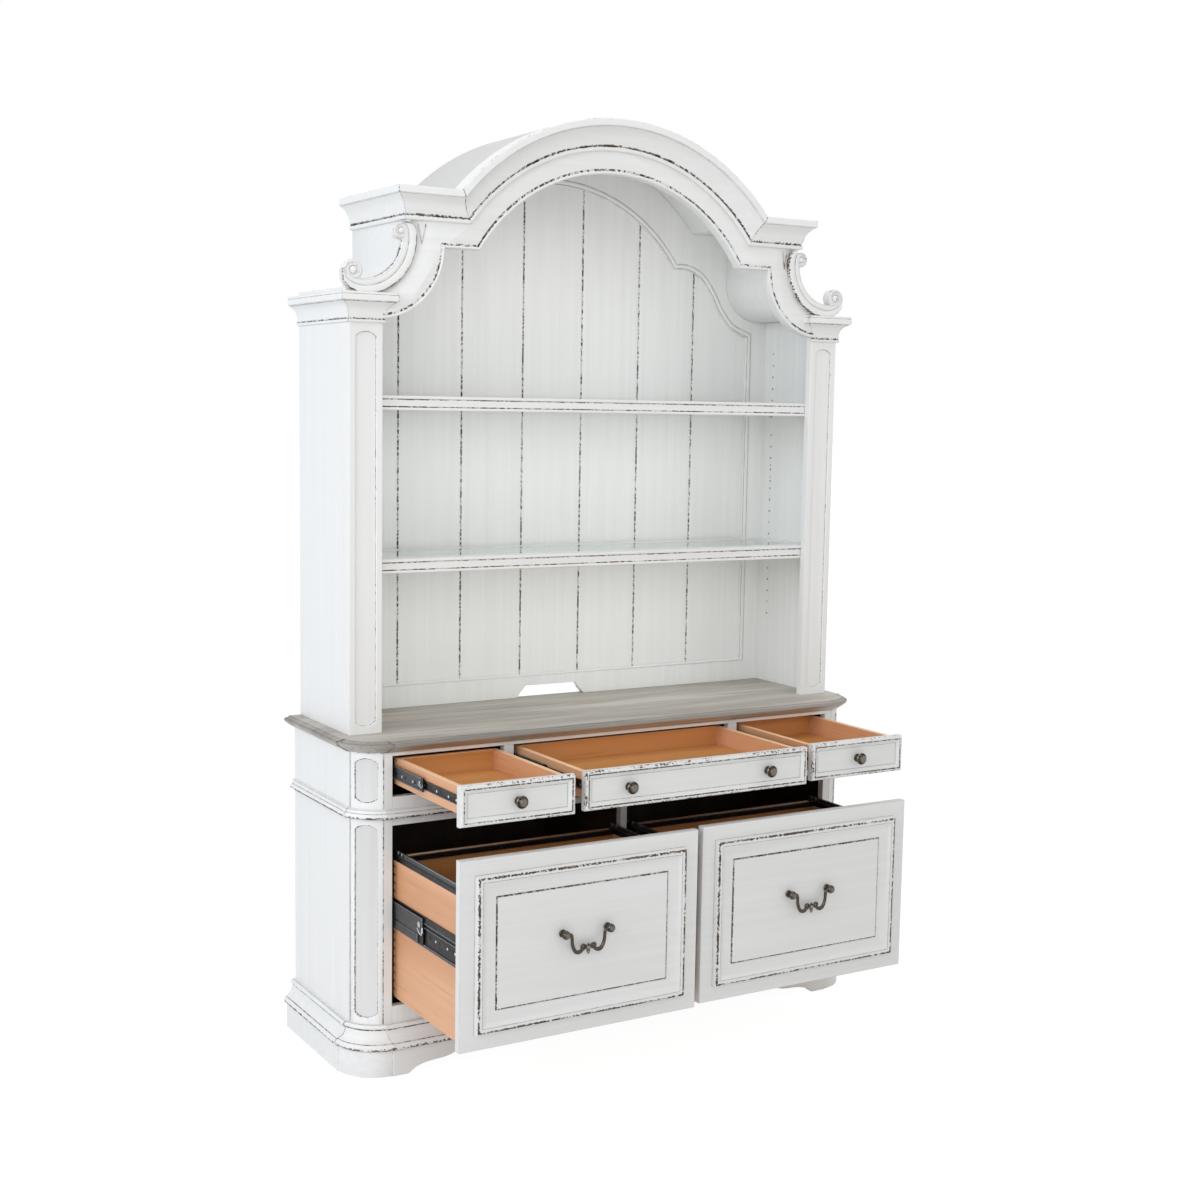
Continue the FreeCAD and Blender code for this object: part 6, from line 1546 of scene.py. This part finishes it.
# %% [markdown]
# The pulls: two ball posts on turned feet, and a swan-necked bail between them with a pair of leaves and a
# drop in the middle. The bail swings on its pins, so it is a piece of its own on its own body. A curve
# object with a bevel could make the bail, but the bar changes its thickness along the way, so it is a tube
# with a radius at every point.

# %% Pulls
PULL_HALF, PULL_HEIGHT, POST_REACH, BAR_STEPS = 57.5, 396.0, 17.0, 4
POST = moulding(
    ("line", [(8.2, 0.0), (9.0, 0.8, 0.5, 0.0), (9.0, 2.4, 0.4, 0.0), (8.0, 3.4, 0.0, 0.9)]),
    ("curve", [(8.0, 3.4), (6.6, 4.6), (5.8, 6.6, 0.0, 0.7), (6.4, 8.4)]),
    ("curve", [(6.4, 8.4), (8.6, 11.8), (9.9, 16.0, 0.1, 0.0), (9.6, 20.0, 0.2, 0.0), (7.4, 23.8, 0.1, 0.3),
               (4.0, 26.2, 0.35, 0.0), (0.0, 26.9, 0.5, 0.0)]),
)
BAIL_ARM = (
    # across, up, bar radius in millimetres, from a pin to the middle
    (54.0, 0.0, 3.4), (48.0, 0.0, 3.7), (44.6, -1.6, 3.9), (42.6, -6.0, 3.9), (42.0, -13.0, 3.8),
    (41.2, -22.0, 3.8), (38.4, -32.0, 4.1), (33.0, -40.6, 4.5), (26.6, -43.4, 4.7), (20.4, -42.0, 4.5),
    (15.4, -38.4, 4.0), (9.0, -35.4, 3.7), (3.0, -34.6, 3.4), (-1.0, -34.6, 3.2),
)
LEAF = (
    # the same for a leaf, from its root to its curled tip
    (4.0, -33.0, 2.2), (8.6, -29.6, 2.8), (13.6, -28.2, 3.0), (17.4, -29.8, 2.6), (18.2, -33.0, 2.2),
    (15.8, -34.6, 1.8), (14.0, -33.0, 1.4),
)
DROP = (
    # radius, up, rub, glaze
    (0.6, -25.0, 0.3, 0.0), (2.4, -26.6, 0.5, 0.0), (2.0, -29.0, 0.0, 0.5), (3.4, -31.0, 0.2, 0.0),
    (5.4, -34.0, 0.7, 0.0), (5.2, -37.4, 0.7, 0.0), (3.2, -40.2, 0.0, 0.5), (4.3, -42.6, 0.5, 0.0),
    (4.2, -44.8, 0.6, 0.0), (2.4, -47.4, 0.2, 0.2), (2.0, -49.4, 0.6, 0.0), (0.0, -51.0, 0.6, 0.0),
)


def smooth_bar(spots, place):
    """Points and radii of a bar through some spots, close enough together to look bent."""
    points, radii = [], []
    path = [spot[:2] for spot in spots]
    for index, (first, second) in enumerate(zip(spots, spots[1:])):
        for share in (step / BAR_STEPS for step in range(BAR_STEPS)):
            points.append(place(*on_curve(path, index, share)))
            radii.append((first[2] + share * (second[2] - first[2])) * MM)
    return points + [place(*path[-1])], radii + [spots[-1][2] * MM]


for name in ("left_file", "right_file"):
    left, right, _, _, opened = DRAWERS[name]
    middle, field = (left + right) / 2, FRAME_BACK - opened - FILE_FRONT[-1][1]
    posts, bail = blank(), blank()
    for side in (-1, 1):
        lathe(posts, Vector((middle + side * PULL_HALF, field, PULL_HEIGHT)) * MM, OUTWARD, POST, 32)

        def place(a, b):
            return Vector((middle + side * a, field - POST_REACH, PULL_HEIGHT + b)) * MM

        for spots in (BAIL_ARM, LEAF):
            points, radii = smooth_bar(spots, place)
            tube(bail, points, radii, 12, rub=0.12)
    lathe(bail, Vector((middle, field - POST_REACH, PULL_HEIGHT)) * MM, Vector((0, 0, 1)), DROP, 24)
    for label, bm, body, node in (("_ball_posts", posts, "_drawer", "_pull_posts"),
                                  ("_swan_bail", bail, "_bail", "_bail")):
        piece(name + label, bm, name + body, [bronze], [name + node], bend=40.0)
print("pulls on two file drawers;", len(made), "pieces in all")
